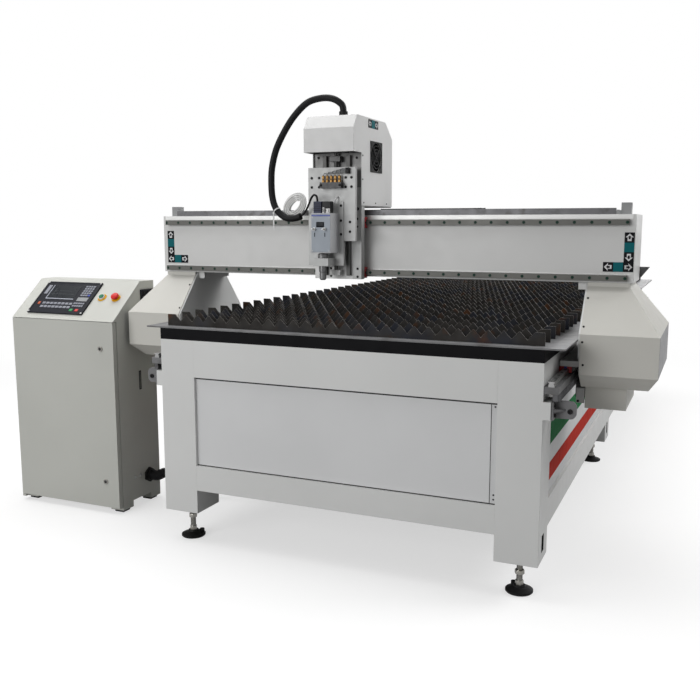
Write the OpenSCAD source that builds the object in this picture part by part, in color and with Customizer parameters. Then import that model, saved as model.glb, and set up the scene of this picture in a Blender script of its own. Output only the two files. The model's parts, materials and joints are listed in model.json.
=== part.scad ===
/* [Table frame] */
// Width of the welded frame
table_w = 1512; // [1300:1:2200]
// Length of the welded frame
table_l = 3800; // [3000:10:6000]
// Height of the frame's top face
frame_top = 830; // [760:1:900]
// Width of a leg, across the table
leg_w = 152; // [120:1:180]
// Depth of a leg, along the table
leg_d = 158; // [120:1:180]
// Height of a leg's lower end above the floor
leg_z = 128; // [100:1:150]
// Wall of the frame's tubes
tube_wall = 6; // [4:1:10]
// Height of the upper beams
upper_beam_h = 146; // [120:1:160]
// Height of the lower beams
lower_beam_h = 102; // [80:1:130]
// Height of the lower beams' underside
lower_beam_z = 224; // [190:1:260]
// Thickness of the beams
frame_beam_t = 100; // [80:1:120]
// Sheet of the panels and trays
panel_t = 2; // [1.5:0.5:4]
// How far the panels sit behind the frame's faces
panel_recess = 12; // [5:1:30]
// Diameter of a foot pad
pad_d = 98; // [80:1:120]
// Diameter of a foot's screw
stud_d = 20; // [16:1:24]

/* [Cutting bed] */
// Height of the black rim round the bed
rim_h = 50; // [40:1:70]
// Width of the rim's bars
rim_w = 40; // [30:1:50]
// Thickness of the cover plates on the rim
flange_t = 6; // [4:1:10]
// How far the cover plates reach over the rails
flange_reach = 65; // [50:1:67]
// Distance from slat to slat
slat_pitch = 97; // [70:1:140]
// Thickness of a slat
slat_t = 4; // [3:0.5:8]
// Height of a slat up to the tips
slat_h = 89; // [80:1:120]
// Distance from tooth to tooth
tooth_pitch = 53; // [40:1:80]
// Depth of the teeth
tooth_h = 27; // [20:1:32]
// Flat tip of a tooth
tooth_top = 3; // [1:1:10]
// Depth of the slag trays
tray_h = 230; // [150:1:300]

/* [Drive] */
// Module of the racks and pinions
gear_module = 3; // [2.5:0.5:4]
// Teeth of a pinion
pinion_teeth = 18; // [18:1:20]
// Play between the flanks of a rack and its pinion
gear_play = 0.5; // [0.3:0.1:0.8]
// Width of a rack's face
rack_h = 25; // [20:1:28]
// Length of one piece of rack
rack_piece = 900; // [600:10:1200]
// Width of the long guide rails
rail_w = 20; // [15:1:25]
// Height of the long guide rails
rail_h = 18; // [14:1:20]
// Gap between a rail and the block that runs on it
rail_gap = 0.3; // [0.2:0.1:0.6]
// Length of a bearing block
block_l = 90; // [70:1:110]
// Width of a bearing block
block_w = 44; // [40:1:46]
// Radial clearance of a shaft in its bore
bore_gap = 0.05; // [0.03:0.01:0.1]
// Size of a drive motor's square body
motor_w = 80; // [60:1:86]

/* [Gantry] */
// Length of the gantry beam's tube
beam_l = 1956; // [1900:1:2050]
// Height of the beam
beam_h = 240; // [200:1:280]
// Depth of the beam
beam_d = 240; // [200:1:260]
// Wall of the beam
beam_wall = 8; // [5:1:12]
// Height of the beam's underside
beam_z = 1074; // [1040:1:1150]
// Middle of the gantry along the table, as it stands
gantry_y = 486; // [440:1:700]
// Thickness of the gantry's plates
plate_t = 20; // [15:1:25]
// Reach of an end housing beyond the leg
housing_w = 262; // [240:1:320]
// Length of an end housing
housing_l = 506; // [480:1:600]
// Sheet of the housings
housing_t = 3; // [2:0.5:5]
// Height of the upright part of a housing
housing_band = 142; // [120:1:150]

/* [Cutting head] */
// Middle of the head along the beam, as it stands
head_x = -120; // [-300:1:300]
// Width of the head's carriage plate
head_w = 200; // [190:1:240]
// Height of the carriage plate
column_h = 486; // [470:1:520]
// Sheet of the head's cover
cover_t = 2.5; // [2:0.5:4]
// Width of the lift plate
lift_w = 200; // [180:1:210]
// Thickness of the lift plate
lift_t = 14; // [12:1:25]
// Diameter of the lift screw
screw_d = 16; // [14:1:20]
// Diameter of the torch's barrel
torch_d = 30; // [26:1:36]
// Size of the head's fan
fan_w = 120; // [100:1:125]
// Diameter of the head's hose
hose_d = 26; // [20:1:30]

/* [Console] */
// Width of the console
console_w = 567; // [520:1:700]
// Depth of the console
console_d = 295; // [270:1:340]
// Height of the console
console_h = 1027; // [980:1:1100]
// Rise of the sloping panel
slope_rise = 165; // [150:1:190]
// Depth of the sloping panel
slope_d = 196; // [190:1:215]
// Sheet of the console
console_t = 3; // [2:0.5:5]
// Thickness of the console's door
door_t = 22; // [18:1:30]
// Clear space from the console to the gantry's left housing
console_gap = 20; // [10:1:60]
// Distance of the console's face behind the table's face
console_y = 149; // [100:1:250]

/* [Hidden] */
$fn = 48;
seat = 0.3;
half_w = table_w / 2;
leg_ys = [0, (table_l - leg_d) / 2, table_l - leg_d];
leg_in = half_w - leg_w;
upper_beam_z = frame_top - upper_beam_h;
panel_z = lower_beam_z + lower_beam_h;
panel_h = upper_beam_z - panel_z;
panel_lip = 25;
foot_plate_t = 12;
foot_h = 26;
nut_h = 16;
anchor_off = 25;
anchor_r = 5.5;
leg_slot = [40, 62];
leg_slot_z = 30;
bed_top = frame_top + rim_h;
slat_lift = 6;
slat_z = frame_top + slat_lift;
slat_first = rim_w + 4;
slat_count = floor((table_l - 2 * slat_first) / slat_pitch) + 1;
slat_inset = 4;
slat_half = half_w - rim_w - slat_inset;
slat_hook = 36;
slat_end = 27;
comb_t = 16;
comb_h = 38;
comb_x = half_w - rim_w - 26;
keel_t = 20;
keel_h = 30;
tray_x = leg_in - 4;
tray_lip = comb_x - comb_t - seat - tray_x;

ledge_w = 48;
ledge_h = 24;
ledge_top = frame_top - 78;
ledge_end = 3;
ledge_x = half_w + ledge_w;
rail_x = half_w + ledge_w / 2;
block_h = 30;
rack_top = ledge_top - ledge_h;
rack_back = 20;
rack_end = 14;
gear_pitch = PI * gear_module;
pinion_r = gear_module * pinion_teeth / 2;
pinion_h = rack_h - 4;
pinion_bore = 8;
pinion_x = ledge_x + pinion_r;
stop_pad_t = 25;
stop_pad_l = 100;
pad_face = half_w + stop_pad_t;
stop_y = 45;
stop_t = 12;
stop_reach = 76;
stop_h = 60;
stop_z = rack_top - rack_h - 2 - stop_h;
buffer_r = 12;
buffer_l = 33;
buffer_x = pad_face + stop_reach - 20;
buffer_z = stop_z + stop_h / 2 - 4;

carriage_z = ledge_top + block_h;
carriage_top = carriage_z + plate_t;
carriage_l = 450;
carriage_x = half_w + 6;
gleg_x = half_w + flange_reach + 5;
gleg_out = gleg_x + plate_t - 2;
drive_x = pinion_x + 109;
gearbox_w = 112;
gearbox_h = 55;
gearbox_z = rack_top - rack_h - 6 - gearbox_h;
hanger_t = 12;
motor_h = 190;
housing_x = gleg_x + 6;
housing_out = housing_x + housing_w;
housing_low = carriage_z - 22;
housing_roof = housing_low + housing_band;
housing_bottom = housing_low - 54;
housing_hip = 70;
housing_neck = beam_d / 2 - 2;
housing_eave = 14;
drive_box_bottom = gearbox_z - 18;
drive_box_x = [housing_x + 12, housing_x + 154];
drive_box_l = 312;
strike_w = 28;
strike_arm = 20;
strike_x = drive_box_x[0] - 2 - strike_w;
strike_y = gantry_y - gearbox_w / 2 - 108;

beam_top = beam_z + beam_h;
beam_front = gantry_y - beam_d / 2;
beam_back = gantry_y + beam_d / 2;
end_plate_t = 10;
x_rail_z = [beam_z + 17, beam_z + beam_h - 28];
x_rail_end = 12;
x_rack_y = beam_front + 3;
x_pinion_y = x_rack_y + rack_back + pinion_r;
chain_h = 25;
chain_w = 18;
chain_pitch = 30;
chain_bend = 27;
tray_back = 105;
chain_tray_t = 3;
chain_tray_h = 18;
chain_tray_half = beam_l / 2 - 62;
chain_free = chain_tray_half - 62;
post_w = 34;
post_h = 41;

saddle_back = beam_front - block_h;
saddle_t = 31;
saddle_front = saddle_back - saddle_t;
column_z = beam_z - 8;
column_top = column_z + column_h;
bridge_t = 12;
bridge_z = beam_top + chain_h + 8;
z_rail_w = 15;
z_rail_h = 15;
z_rail_x = 50;
z_block_h = 33;
lift_back = saddle_front - z_block_h;
lift_front = lift_back - lift_t;
lift_z = 1120;
lift_top = 1495;
lift_step_x = 50;
lift_x = head_x - 5;
lift_step_z = 1215;
screw_y = saddle_front - 18;
screw_r = screw_d / 2;
journal_r = screw_r - 2;
support_h = 20;
cover_half = head_w / 2 + 4;
cover_low = bridge_z + 4;
visor_front = lift_front - 40;
visor_h = 89;
cover_top = column_top + 135;
cover_back = beam_back + 17;
cover_chamfer = [33, 46];
cover_rear = [77, 62];
fan_y = gantry_y - 43;
fan_z = cover_low + 191;
fan_r = fan_w / 2 - 4;
fan_t = 25;
gland_x = head_x + 8;
gland_y = saddle_back + 5;
gland_h = 25;

box_w = 82;
box_d = lift_front - 180;
box_h = 150;
box_x = head_x - 56;
box_z = 1171;
toggle_x = [box_x + 15, box_x + 58];
toggle_z = box_z + 90;
toggle_r = 4;
toggle_y = lift_front - box_d - 5;
torch_x = head_x - 24;
torch_y = lift_front - 42;
torch_z = 1066;
torch_h = 102;
clamp_h = 30;
manifold_h = 22;
manifold_z = 1416;
nut_z = 1330;
fittings = 5;
strip_w = 20;
strip_t = 4;

console_x1 = -housing_out - console_gap;
console_x0 = console_x1 - console_w;
console_y1 = console_y + console_d;
slope_z = console_h - slope_rise;
door_gap = 3;
door_y1 = console_y + door_t;
shell_y = door_y1 + door_gap;
door_z0 = 28;
door_z1 = slope_z - 2;
door_x1 = console_x1 - 2;
plinth_z = 12;
console_z = door_z0 + 12;
console_post = 70;
console_foot = 46;
hinge_lug = 18;
pivot_x = console_x0 + 9;
pivot_l = 22;
pivot_y = console_y + 8;
pivot_r = 4;
lip_w = 25;
slope_len = norm([slope_d, slope_rise]);
slope_a = atan2(slope_rise, slope_d);
panel_w = 312;
panel_len = 198;
panel_x = console_x0 + 69;
panel_s = 32;
panel_thick = 7;
start_x = console_x0 + 426;
stop_x = console_x0 + 503;
button_s = 144;
button_r = 10;
lock_x = console_x1 - 72;
lock_zs = [146, slope_z - 119];
lock_cam = 60;
lock_r = 8;
vent = [92, 85];
vent_y = console_y1 - 53;
vent_z = console_h - 80;
side_slot = [6, 78];
side_slot_y = console_y + 171;
side_slot_z = slope_z - 319;
conduit_d = 46;
conduit_y = console_y + 213;
conduit_z = 130;
conduit_end_y = 640;
conduit_end_z = lower_beam_z + lower_beam_h / 2;
gland_l = 22;

center_x = (housing_out + console_x0) / 2;
center_y = table_l / 2;

hose_route = [
    [0, 0, 0], [-6, -2, 26], [-38, -8, 48], [-84, -12, 54], [-140, -24, 40], [-188, -34, -2],
    [-228, -44, -58], [-262, -60, -132], [-276, -72, -198], [-280, -76, -254], [-270, -88, -326],
    [-246, -98, -376], [-208, -100, -406], [-170, -100, -410], [-138, -100, -402]];
cable_route = [
    [0, 0, 0], [20, -6, 14], [40, -14, 42], [56, -22, 68], [70, -28, 80], [82, -30, 76], [86, -30, 64],
    [86, -30, 55.4]];
conduit_route = [
    [0, 0, 0], [0.09, 0.004, 0], [0.20, 0.04, 0.10], [0.31, 0.12, 0.02], [0.42, 0.26, -0.28],
    [0.53, 0.46, -0.42], [0.64, 0.68, -0.18], [0.74, 0.86, 0.34], [0.83, 0.96, 0.78], [0.91, 1, 0.98],
    [1, 1, 1]];
conduit_start = [console_x1 + gland_l, conduit_y, conduit_z];
conduit_end = [-half_w - gland_l, conduit_end_y, conduit_end_z];
conduit_run = [for (p = conduit_route) [for (k = [0:2]) p[k] * (conduit_end - conduit_start)[k]]];

hose_start = [gland_x, gland_y, cover_top + gland_h];
hose_end = hose_start + hose_route[len(hose_route) - 1];
hose_sides = 10;
coil_sides = 6;
coil_tube = 6;
coil_turns = 4;
coil_step = 7.2;
coil_size = [28, 12];
coil_seat = hose_d / 2 * cos(180 / hose_sides) + coil_tube / 2 * cos(180 / coil_sides);
coil_middle = hose_end + [-36, coil_seat + seat, 41];
coil_tilt = 44;
flank = tan(20);

// Moves the machine so that the middle of its footprint is the origin
module place() {
    translate([-center_x, -center_y, 0])
        children();
}

module both_sides() {
    children();
    mirror([1, 0, 0])
        children();
}

// A box between two opposite corners
module span(low, high) {
    translate(low)
        cube(high - low);
}

module rod(from, length, radius, axis = "z") {
    turn = axis == "x" ? [0, 90, 0] : axis == "y" ? [-90, 0, 0] : [0, 0, 0];
    translate(from)
        rotate(turn)
            cylinder(r = radius, h = length);
}

// A profile in Y and Z, drawn out along X from x0 to x1
module side_profile(points, x0, x1) {
    translate([x0, 0, 0])
        rotate([90, 0, 90])
            linear_extrude(x1 - x0)
                polygon(points);
}

// A profile in X and Z, drawn out along Y from y0 to y1
module front_profile(points, y0, y1) {
    translate([0, y1, 0])
        rotate([90, 0, 0])
            linear_extrude(y1 - y0)
                polygon(points);
}

// A square tube between two corners, open along one axis
module tube_box(low, high, wall, open) {
    past = 1;
    trim = [for (i = [0:2]) i == open ? -past : wall];
    difference() {
        span(low, high);
        span(low + trim, high - trim);
    }
}

// Smooth curve through the points of a route
function curve_point(a, b, c, d, t) =
    0.5 * (2 * b + (c - a) * t + (2 * a - 5 * b + 4 * c - d) * t * t
        + (3 * b - a - 3 * c + d) * t * t * t);
function smooth(pts, steps) = concat(
    [for (i = [0:len(pts) - 2])
        for (k = [0:steps - 1])
            curve_point(pts[max(i - 1, 0)], pts[i], pts[i + 1], pts[min(i + 2, len(pts) - 1)], k / steps)],
    [pts[len(pts) - 1]]);
function unit(v) = v / norm(v);
function along(r, i) = unit(r[min(i + 1, len(r) - 1)] - r[max(i - 1, 0)]);
function ring(r, i, radius, sides, up) =
    let (t = along(r, i), s = unit(cross(t, up)), w = cross(s, t))
        [for (k = [0:sides - 1]) r[i] + radius * (cos(360 * k / sides) * s + sin(360 * k / sides) * w)];
function skin(first, rings, sides, flip) = [
    for (i = [0:rings - 2])
        for (k = [0:sides - 1])
            let (row = first + i * sides, a = row + k, b = row + (k + 1) % sides, c = a + sides, d = b + sides)
                for (t = [0, 1])
                    flip ? (t == 0 ? [a, b, d] : [a, d, c]) : (t == 0 ? [a, d, b] : [a, c, d])];

// A solid tube swept along a route
module cord(r, radius, sides, up) {
    rings = len(r);
    last = (rings - 1) * sides;
    points = [for (i = [0:rings - 1]) each ring(r, i, radius, sides, up)];
    caps = [for (k = [1:sides - 2])
        for (t = [0, 1])
            t == 0 ? [0, k, k + 1] : [last, last + k + 1, last + k]];
    polyhedron(points, concat(skin(0, rings, sides, false), caps));
}

// A ribbed hose with a bore, swept along a route
module ribbed_hose(r, radius, rib, bore, sides, up) {
    rings = len(r);
    outer = [for (i = [0:rings - 1])
        each ring(r, i, radius - (floor(i / 2) % 2 == 1 ? rib : 0), sides, up)];
    inner = [for (i = [0:rings - 1]) each ring(r, i, bore, sides, up)];
    second = rings * sides;
    last = (rings - 1) * sides;
    ends = [for (k = [0:sides - 1])
        let (n = (k + 1) % sides)
            for (t = [0:3])
                t == 0 ? [k, n, second + n] :
                t == 1 ? [k, second + n, second + k] :
                t == 2 ? [last + k, second + last + n, last + n] :
                [last + k, second + last + k, second + last + n]];
    polyhedron(concat(outer, inner),
        concat(skin(0, rings, sides, false), skin(second, rings, sides, true), ends));
}

// One tooth of a rack, with straight 20 degree flanks
function rack_tooth(at, back) = let (
        m = gear_module,
        half = gear_pitch / 4 - gear_play / 4,
        tip = half - 0.95 * m * flank,
        root = half + 1.2 * m * flank)
    [[at - root, back], [at - tip, back + 2.15 * m], [at + tip, back + 2.15 * m], [at + root, back]];

// Outline of a rack from u0 to u1, with a tooth on each pitch from the mesh point
module rack_outline(u0, u1, mesh) {
    first = ceil((u0 - mesh) / gear_pitch + 0.5);
    final = floor((u1 - mesh) / gear_pitch - 0.5);
    root = rack_back - 1.2 * gear_module;
    teeth = [for (k = [first:final]) each rack_tooth(mesh + k * gear_pitch, root)];
    polygon(concat([[u0, 0], [u0, root]], teeth, [[u1, root], [u1, 0]]));
}

function involute(base, t) = let (r = base * sqrt(1 + t * t), a = t * 180 / PI - atan(t)) [r, a];
function pinion_flank(steps) = let (
        base = pinion_r * cos(20),
        tip = pinion_r + 0.95 * gear_module,
        end = sqrt(pow(tip / base, 2) - 1),
        half = 90 / pinion_teeth - gear_play / 4 / pinion_r * 180 / PI,
        at_pitch = involute(base, tan(20))[1])
    [for (i = [0:steps]) let (p = involute(base, end * i / steps)) [p[0], half + at_pitch - p[1]]];

// A spur pinion with one gap on the +X axis
module pinion(height) {
    side = pinion_flank(4);
    root = pinion_r - 1.2 * gear_module;
    foot = side[0][1];
    tooth = concat(
        [[root, -foot]],
        [for (i = [0:len(side) - 1]) [side[i][0], -side[i][1]]],
        [for (i = [len(side) - 1:-1:0]) side[i]],
        [[root, foot]]);
    linear_extrude(height)
        polygon([for (k = [0:pinion_teeth - 1])
            for (p = tooth)
                let (a = p[1] + (k + 0.5) * 360 / pinion_teeth)
                    p[0] * [cos(a), sin(a)]]);
}

// A guide rail's section, with its foot at v = 0 and a waist on each side
function rail_side(w, h, s) = [
    [s * w / 2, h * 0.42], [s * w * 0.36, h * 0.55], [s * w * 0.36, h * 0.68], [s * w / 2, h * 0.8]];
function rail_section(w, h) = let (left = rail_side(w, h, -1)) concat(
    [[-w / 2, 0], [w / 2, 0]], rail_side(w, h, 1), [[w / 2, h], [-w / 2, h]],
    [for (i = [3:-1:0]) left[i]]);

// A bearing block's section round a rail, top at v = top
function block_section(w, rw, rh, low, top) = let (
        groove = rw / 2 + rail_gap,
        roof = rh + rail_gap,
        bevel = 3) [
    [-w / 2, low], [-groove, low], [-groove, roof], [groove, roof], [groove, low], [w / 2, low],
    [w / 2, top - bevel], [w / 2 - bevel, top], [bevel - w / 2, top], [-w / 2, top - bevel]];

// A welded pad on a corner leg's outer face, which carries a stop bracket
module stop_pad(y) {
    span([half_w - 1, y, stop_z], [pad_face, y + stop_pad_l, stop_z + stop_h]);
}

module legs() {
    color("whitesmoke")
        both_sides()
            for (y = leg_ys)
                difference() {
                    union() {
                        span([leg_in, y, leg_z], [half_w, y + leg_d, frame_top]);
                        if (y != leg_ys[1])
                            stop_pad(y == 0 ? 0 : table_l - stop_pad_l);
                    }
                    span([leg_in + tube_wall, y + tube_wall, leg_z + foot_plate_t],
                        [half_w - tube_wall, y + leg_d - tube_wall, frame_top + 1]);
                    translate([leg_in + leg_w / 2, y + leg_d / 2, leg_z - 1])
                        cylinder(d = stud_d + 2 * seat, h = foot_plate_t + 2);
                    translate([half_w - tube_wall - 1, y + (leg_d - leg_slot[0]) / 2, leg_z + leg_slot_z])
                        cube([tube_wall + 2, leg_slot[0], leg_slot[1]]);
                }
}

// Beams between the legs at one height: ends, sides and a cross-member
module beam_ring(z, h, cross_h) {
    for (y = [0, table_l - frame_beam_t])
        tube_box([-leg_in, y, z], [leg_in, y + frame_beam_t, z + h], tube_wall, 0);
    both_sides()
        for (i = [0, 1])
            tube_box([half_w - frame_beam_t, leg_ys[i] + leg_d, z],
                [half_w, leg_ys[i + 1], z + h], tube_wall, 1);
    tube_box([-leg_in, leg_ys[1] + 30, z], [leg_in, leg_ys[1] + leg_d - 30, z + cross_h], tube_wall, 0);
}

module upper_beams() {
    color("whitesmoke")
        beam_ring(upper_beam_z, upper_beam_h, upper_beam_h + slat_lift - keel_h);
}

module lower_beams() {
    color("whitesmoke")
        beam_ring(lower_beam_z, lower_beam_h, lower_beam_h);
}

// A sheet pan with its edges turned back, face towards -Y
module pan(w, h) {
    difference() {
        cube([w, panel_lip, h]);
        translate([panel_t, panel_t, panel_t])
            cube([w - 2 * panel_t, panel_lip, h - 2 * panel_t]);
    }
}

module end_pan() {
    translate([-leg_in + seat, panel_recess, panel_z + seat])
        pan(2 * leg_in - 2 * seat, panel_h - 2 * seat);
}

module front_panel() {
    color("white")
        end_pan();
}

module side_panels() {
    color("gainsboro") {
        translate([0, table_l, 0])
            mirror([0, 1, 0])
                end_pan();
        both_sides()
            for (i = [0, 1])
                translate([half_w - panel_recess, leg_ys[i] + leg_d + seat, panel_z + seat])
                    rotate([0, 0, 90])
                        pan(leg_ys[i + 1] - leg_ys[i] - leg_d - 2 * seat, panel_h - 2 * seat);
    }
}

module bed_rim() {
    color([0.1, 0.1, 0.1]) {
        for (y = [0, table_l - rim_w])
            span([-half_w, y, frame_top], [half_w, y + rim_w, bed_top - flange_t]);
        both_sides()
            span([half_w - rim_w, rim_w + seat, frame_top],
                [half_w, table_l - rim_w - seat, bed_top - flange_t]);
    }
}

module bed_flanges() {
    reach = half_w + flange_reach;
    color("silver") {
        for (y = [0, table_l - rim_w])
            span([-reach, y, bed_top - flange_t], [reach, y + rim_w, bed_top]);
        both_sides()
            span([half_w - rim_w, rim_w + seat, bed_top - flange_t],
                [reach, table_l - rim_w - seat, bed_top]);
    }
}

function slat_y(i) = slat_first + i * slat_pitch;

module slat_combs() {
    color("dimgray") {
        both_sides()
            difference() {
                span([comb_x - comb_t, rim_w + seat, frame_top],
                    [comb_x, table_l - rim_w - seat, frame_top + comb_h]);
                for (i = [0:slat_count - 1])
                    translate([comb_x - comb_t - 1, slat_y(i) - slat_t / 2 - seat, slat_z])
                        cube([comb_t + 2, slat_t + 2 * seat, comb_h]);
            }
        span([-keel_t / 2, frame_beam_t, slat_z - keel_h], [keel_t / 2, table_l - frame_beam_t, slat_z]);
    }
}

// One slat's outline: pointed teeth over V gaps, with a hook at each end that lies over the cover plate
module slat_outline() {
    hook_x = slat_half + slat_hook;
    hook_z = bed_top + seat - slat_z;
    gaps = floor(2 * (hook_x - slat_end) / tooth_pitch);
    half_gap = (tooth_pitch - tooth_top) / 2;
    points = [for (k = [0:gaps - 1])
        let (at = (k - (gaps - 1) / 2) * tooth_pitch)
            each [[at - half_gap, slat_h], [at, slat_h - tooth_h], [at + half_gap, slat_h]]];
    polygon(concat(
        [[-slat_half, 0], [-slat_half, hook_z], [-hook_x, hook_z], [-hook_x, slat_h]], points,
        [[hook_x, slat_h], [hook_x, hook_z], [slat_half, hook_z], [slat_half, 0]]));
}

module slats() {
    color([0.16, 0.13, 0.11])
        for (i = [0:slat_count - 1])
            translate([0, slat_y(i) + slat_t / 2, slat_z])
                rotate([90, 0, 0])
                    linear_extrude(slat_t)
                        slat_outline();
}

module slag_trays() {
    wall = panel_t + 1;
    end_top = slat_z - keel_h - 2;
    tray_z = frame_top - tray_h;
    past = frame_top + wall + 1;
    color("slategray")
        for (i = [0, 1]) {
            y0 = i == 0 ? frame_beam_t + 10 : leg_ys[1] + leg_d + 2;
            y1 = i == 0 ? leg_ys[1] - 2 : table_l - frame_beam_t - 10;
            difference() {
                union() {
                    span([-tray_x, y0, tray_z], [tray_x, y1, frame_top + wall]);
                    both_sides()
                        span([tray_x - 1, leg_ys[i] + leg_d + 20, frame_top],
                            [tray_x + tray_lip, leg_ys[i + 1] - 20, frame_top + wall]);
                }
                span([-tray_x + wall, y0 + wall, tray_z + wall], [tray_x - wall, y1 - wall, past]);
                span([-tray_x - 1, y0 - 1, end_top], [tray_x + 1, leg_ys[i] + leg_d + 19, past]);
                span([-tray_x - 1, leg_ys[i + 1] - 19, end_top], [tray_x + 1, y1 + 1, past]);
            }
        }
}

module y_ledges() {
    color("lightgray")
        both_sides()
            span([half_w, ledge_end, rack_top], [ledge_x, table_l - ledge_end, ledge_top]);
}

module y_rails() {
    color("gray")
        both_sides()
            translate([rail_x, table_l - ledge_end, ledge_top])
                rotate([90, 0, 0])
                    linear_extrude(table_l - 2 * ledge_end)
                        polygon(rail_section(rail_w, rail_h));
}

module y_racks() {
    length = table_l - 2 * rack_end;
    pieces = ceil(length / rack_piece);
    step = length / pieces;
    color("darkgray")
        both_sides()
            for (i = [0:pieces - 1])
                translate([ledge_x - rack_back, 0, rack_top - rack_h])
                    linear_extrude(rack_h)
                        mirror([1, -1, 0])
                            rack_outline(rack_end + i * step + seat / 2, rack_end + (i + 1) * step - seat / 2,
                                gantry_y);
}

// One stop bracket at the front right corner
module stop_bracket() {
    tip_r = 20;
    flange = 8;
    foot = 40;
    rib_t = 8;
    rib_reach = 34;
    difference() {
        union() {
            translate([pad_face, stop_y + stop_t, stop_z])
                rotate([90, 0, 0])
                    linear_extrude(stop_t)
                        union() {
                            square([stop_reach - tip_r, stop_h]);
                            translate([stop_reach - tip_r - 1, tip_r])
                                square([tip_r + 1, stop_h - 2 * tip_r]);
                            for (v = [tip_r, stop_h - tip_r])
                                translate([stop_reach - tip_r, v])
                                    circle(tip_r);
                        }
            span([pad_face, stop_y - foot, stop_z], [pad_face + flange, stop_y + 1, stop_z + stop_h]);
            translate([pad_face + flange, stop_y, stop_z + (stop_h - rib_t) / 2])
                linear_extrude(rib_t)
                    polygon([[-1, 1], [rib_reach, 1], [-1, -foot]]);
        }
        translate([buffer_x, stop_y - 1, buffer_z])
            rotate([-90, 0, 0])
                cylinder(r = 5, h = stop_t + 2);
    }
}

// Copies to the four corners of the table
module four_corners() {
    both_sides() {
        children();
        translate([0, table_l, 0])
            mirror([0, 1, 0])
                children();
    }
}

module stop_brackets() {
    color("gray")
        four_corners()
            stop_bracket();
}

module stop_buffers() {
    color("darkorange")
        four_corners() {
            rod([buffer_x, stop_y + stop_t, buffer_z], buffer_l, buffer_r, "y");
            rod([buffer_x, stop_y, buffer_z], stop_t + 1, 5 - seat, "y");
        }
}

module feet_places() {
    both_sides()
        for (y = leg_ys)
            translate([leg_in + leg_w / 2, y + leg_d / 2, 0])
                children();
}

module foot_pads() {
    neck = stud_d / 2 + 10;
    rim = 9;
    boss_r = 10;
    socket = 10;
    color([0.08, 0.08, 0.08])
        feet_places()
            difference() {
                union() {
                    rotate_extrude()
                        polygon([[0, 0], [pad_d / 2 - 3, 0], [pad_d / 2, 3], [pad_d / 2, rim],
                            [neck + 2, foot_h - 6], [neck, foot_h], [0, foot_h]]);
                    translate([-anchor_off, anchor_off, 1])
                        cylinder(r = boss_r, h = foot_h - 3);
                }
                translate([0, 0, socket])
                    cylinder(d = stud_d + 2 * seat, h = foot_h);
                translate([-anchor_off, anchor_off, -1])
                    cylinder(r = anchor_r, h = foot_h + 2);
            }
}

module foot_studs() {
    color("silver")
        feet_places() {
            translate([0, 0, 10])
                cylinder(d = stud_d, h = leg_z + 60 - 10);
            for (z = [leg_z - nut_h, leg_z + foot_plate_t])
                translate([0, 0, z])
                    cylinder(d = stud_d * 1.75, h = nut_h, $fn = 6);
            translate([0, 0, foot_h])
                cylinder(d = stud_d * 1.5, h = nut_h, $fn = 6);
        }
}

// The console from the side, then the space inside its sheet
console_outline = [
    [shell_y, console_z], [shell_y, slope_z], [console_y, slope_z], [console_y + slope_d, console_h],
    [console_y1, console_h], [console_y1, console_z]];
function slope_under(y) = slope_z + (y - console_y) * tan(slope_a) - console_t / cos(slope_a);
console_space = let (
        front = shell_y + console_t,
        back = console_y1 - console_t,
        low = console_z + console_t,
        top = console_h - console_t,
        knee = console_y + (top - slope_under(console_y)) / tan(slope_a))
    [[front, low], [front, slope_under(front)], [knee, top], [back, top], [back, low]];

// Things on the sloping panel: u along X, v up the slope, w out of it
module on_slope(x, s) {
    translate([x, console_y, slope_z])
        rotate([slope_a, 0, 0])
            translate([0, s, 0])
                children();
}

// A corner post under the console on its foot
module console_leg() {
    inset = (console_post - console_foot) / 2;
    translate([0, 0, plinth_z])
        cube([console_post, console_post, console_z - plinth_z + 1]);
    translate([inset, inset, 0])
        cube([console_foot, console_foot, plinth_z + 1]);
}

module console_shell() {
    cut = 80;
    color("whitesmoke")
        difference() {
            union() {
                difference() {
                    side_profile(console_outline, console_x0, console_x1);
                    side_profile(console_space, console_x0 + console_t, console_x1 - console_t);
                    span([console_x0 + lip_w, shell_y - 1, console_z + lip_w],
                        [console_x1 - lip_w, shell_y + console_t + 1, slope_z - lip_w]);
                }
                for (x = [console_x0, console_x1 - console_post])
                    for (y = [shell_y, console_y1 - console_post])
                        translate([x, y, 0])
                            console_leg();
                span([console_x0, console_y + 1, plinth_z + 4],
                    [console_x0 + hinge_lug, shell_y + 5, door_z0 - 2]);
                rod([pivot_x, pivot_y, door_z0 - 3], pivot_l, pivot_r);
                rod([pivot_x, pivot_y, slope_z + 1 - pivot_l], pivot_l, pivot_r);
            }
            on_slope(panel_x + 12, panel_s + 12)
                translate([0, 0, -cut / 2])
                    cube([panel_w - 24, panel_len - 24, cut]);
            for (x = [start_x, stop_x])
                on_slope(x, button_s)
                    translate([0, 0, -cut / 2])
                        cylinder(r = button_r + 2, h = cut);
            translate([console_x1 - console_t - 1, vent_y - vent[0] / 2 + 8, vent_z - vent[1] / 2 + 8])
                cube([console_t + 2, vent[0] - 16, vent[1] - 16]);
            rod([console_x1 - console_t - 1, conduit_y, conduit_z], console_t + 2, conduit_d / 2 - 4, "x");
            translate([console_x1 - console_t - 1, side_slot_y, side_slot_z])
                cube([console_t + 2, side_slot[0], side_slot[1]]);
        }
}

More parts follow.
